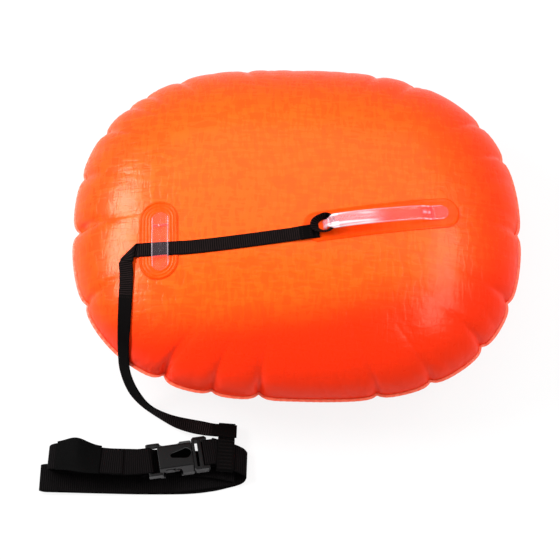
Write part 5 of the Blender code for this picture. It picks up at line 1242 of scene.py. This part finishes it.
turned_piece("valve_flange", [
    (NECK_BORE, -NECK_IN + 0.0004), (NECK_BORE + 0.0004, -NECK_IN),
    (NECK_OUTSIDE - 0.0004, -NECK_IN), (NECK_OUTSIDE, -NECK_IN + 0.0004),
    (NECK_OUTSIDE, -0.0004), (NECK_OUTSIDE + 0.0004, 0.00005),
    (FLANGE_RADIUS - 0.0003, 0.0), (FLANGE_RADIUS, 0.0003), (FLANGE_RADIUS, FLANGE_THICK * 0.6),
    (FLANGE_RADIUS - 0.0004, FLANGE_THICK), (FLANGE_RADIUS - 0.0016, FLANGE_THICK),
    (FLANGE_RADIUS - 0.0020, FLANGE_THICK * 0.7), (FLANGE_RADIUS - 0.0026, FLANGE_THICK * 0.7),
    (FLANGE_RADIUS - 0.0030, FLANGE_THICK), (NECK_OUTSIDE + 0.0012, FLANGE_THICK)]
    + fillet(NECK_OUTSIDE + 0.0010, FLANGE_THICK, NECK_OUTSIDE, FLANGE_THICK + 0.0010, False)
    + [(NECK_OUTSIDE, NECK_OUT - 0.0005)]
    + fillet(NECK_OUTSIDE, NECK_OUT - 0.0005, NECK_OUTSIDE - 0.0005, NECK_OUT, False)
    + fillet(NECK_BORE + 0.0005, NECK_OUT, NECK_BORE, NECK_OUT - 0.0005, True),
    0, "valve_base", "buoy", closed=True)
turned_piece("valve_stopper", [
    (0.0006, -0.0058), (0.0030, -0.0058), (0.0036, -0.0054), (0.0038, -0.0048), (0.0036, -0.0036),
    (0.0038, -0.0028), (0.0038, -0.0006), (0.0042, -0.00005), (0.0072, 0.0), (0.0077, 0.0005),
    (0.0078, 0.0013), (0.0074, 0.0021), (0.0064, 0.0025), (0.0050, 0.0026), (0.0044, 0.0021),
    (0.0030, 0.0019), (0.0006, 0.0019)],
    PLUG_SEAT, "valve_plug", "plug")
turned_piece("valve_flap_disc", [
    (0.0004, -0.0010), (0.0046, -0.0010), (0.0053, -0.0008), (0.0056, -0.0005), (0.0054, -0.0001),
    (0.0050, 0.0), (0.0004, 0.0)],
    -NECK_IN - SEAT_GAP, "valve_flap", "flap")

# Dry pocket. A sheet of the film welded on the back panel on three sides, for keys and a card. Its
# mouth is a moulded press-seal strip closed by a slider.
POCKET_HALF, POCKET_NEAR, POCKET_FAR, POCKET_CORNER = 0.085, 0.068, 0.147, 0.014
POCKET_TURNS = 320
POCKET_WELD_IN, POCKET_WELD_WIDE, POCKET_WELD_HIGH = 0.0030, 0.0016, 0.00035
PILLOW_FROM, PILLOW_OVER, PILLOW_HIGH = 0.006, 0.01, 0.0002
pocket_middle = np.array([0, (POCKET_NEAR + POCKET_FAR) / 2])
pocket_size = np.array([POCKET_HALF, (POCKET_FAR - POCKET_NEAR) / 2])


def in_pocket(xy):
    """Distance inside the pocket's rounded outline."""
    q = np.abs(xy - pocket_middle) - pocket_size + POCKET_CORNER
    return POCKET_CORNER - (np.linalg.norm(np.maximum(q, 0), axis=-1) + np.minimum(q.max(-1), 0))


def pocket_relief(inside):
    """A wide welded bead, and the loose sheet pillowed a little inside it."""
    return (POCKET_WELD_HIGH * np.exp(-((inside - POCKET_WELD_IN) / POCKET_WELD_WIDE) ** 2)
            + PILLOW_HIGH * np.clip((inside - PILLOW_FROM) / PILLOW_OVER, 0, 1))


corner = np.radians(np.linspace(0, 90, 13))
outline = np.vstack([
    np.stack([np.cos(corner + i * np.pi / 2), np.sin(corner + i * np.pi / 2)], -1) * POCKET_CORNER
    + (pocket_size - POCKET_CORNER) * signs + pocket_middle
    for i, signs in enumerate(((1, 1), (-1, 1), (-1, -1), (1, -1)))])
outline = np.vstack([outline, outline[:1]])
run = run_along(outline)
outline = at_runs(np.linspace(0, run[-1], POCKET_TURNS, endpoint=False), run, outline)
sheet_on("pocket_sheet", outline, in_pocket,
         lambda xy: np.maximum(2 * RIM_Z - top_height(xy), 0.0), -1, FILM, pocket_relief,
         "pocket_panel")

rail_grey = Finish("seal_strip_grey", (0.50, 0.52, 0.55), 0.38)
milk = rail_grey.noise(140)
rail_grey.set(Base_Color=rail_grey.blend(milk, (0.44, 0.46, 0.49), (0.56, 0.58, 0.61)),
              Roughness=0.32 + milk * 0.12)
rail_grey.bump(rail_grey.place()[1].wave(0.0012) * 0.6 + milk * 0.4, 0.00015, 0.5)
moulded("seal_strip", "pocket_track", rail_grey, 0.0002, "buoy")
grip = Finish("slider_black", (0.006, 0.006, 0.006), 0.4, Specular_IOR_Level=0.35)
speck = grip.noise(1300)
grip.set(Roughness=0.32 + speck * 0.12)
grip.bump(grip.place()[0].wave(0.0018) * 0.8 + speck * 0.2, 0.0004, 0.9)
moulded("seal_slider", "pocket_slider", grip, 0.0004, "slider")
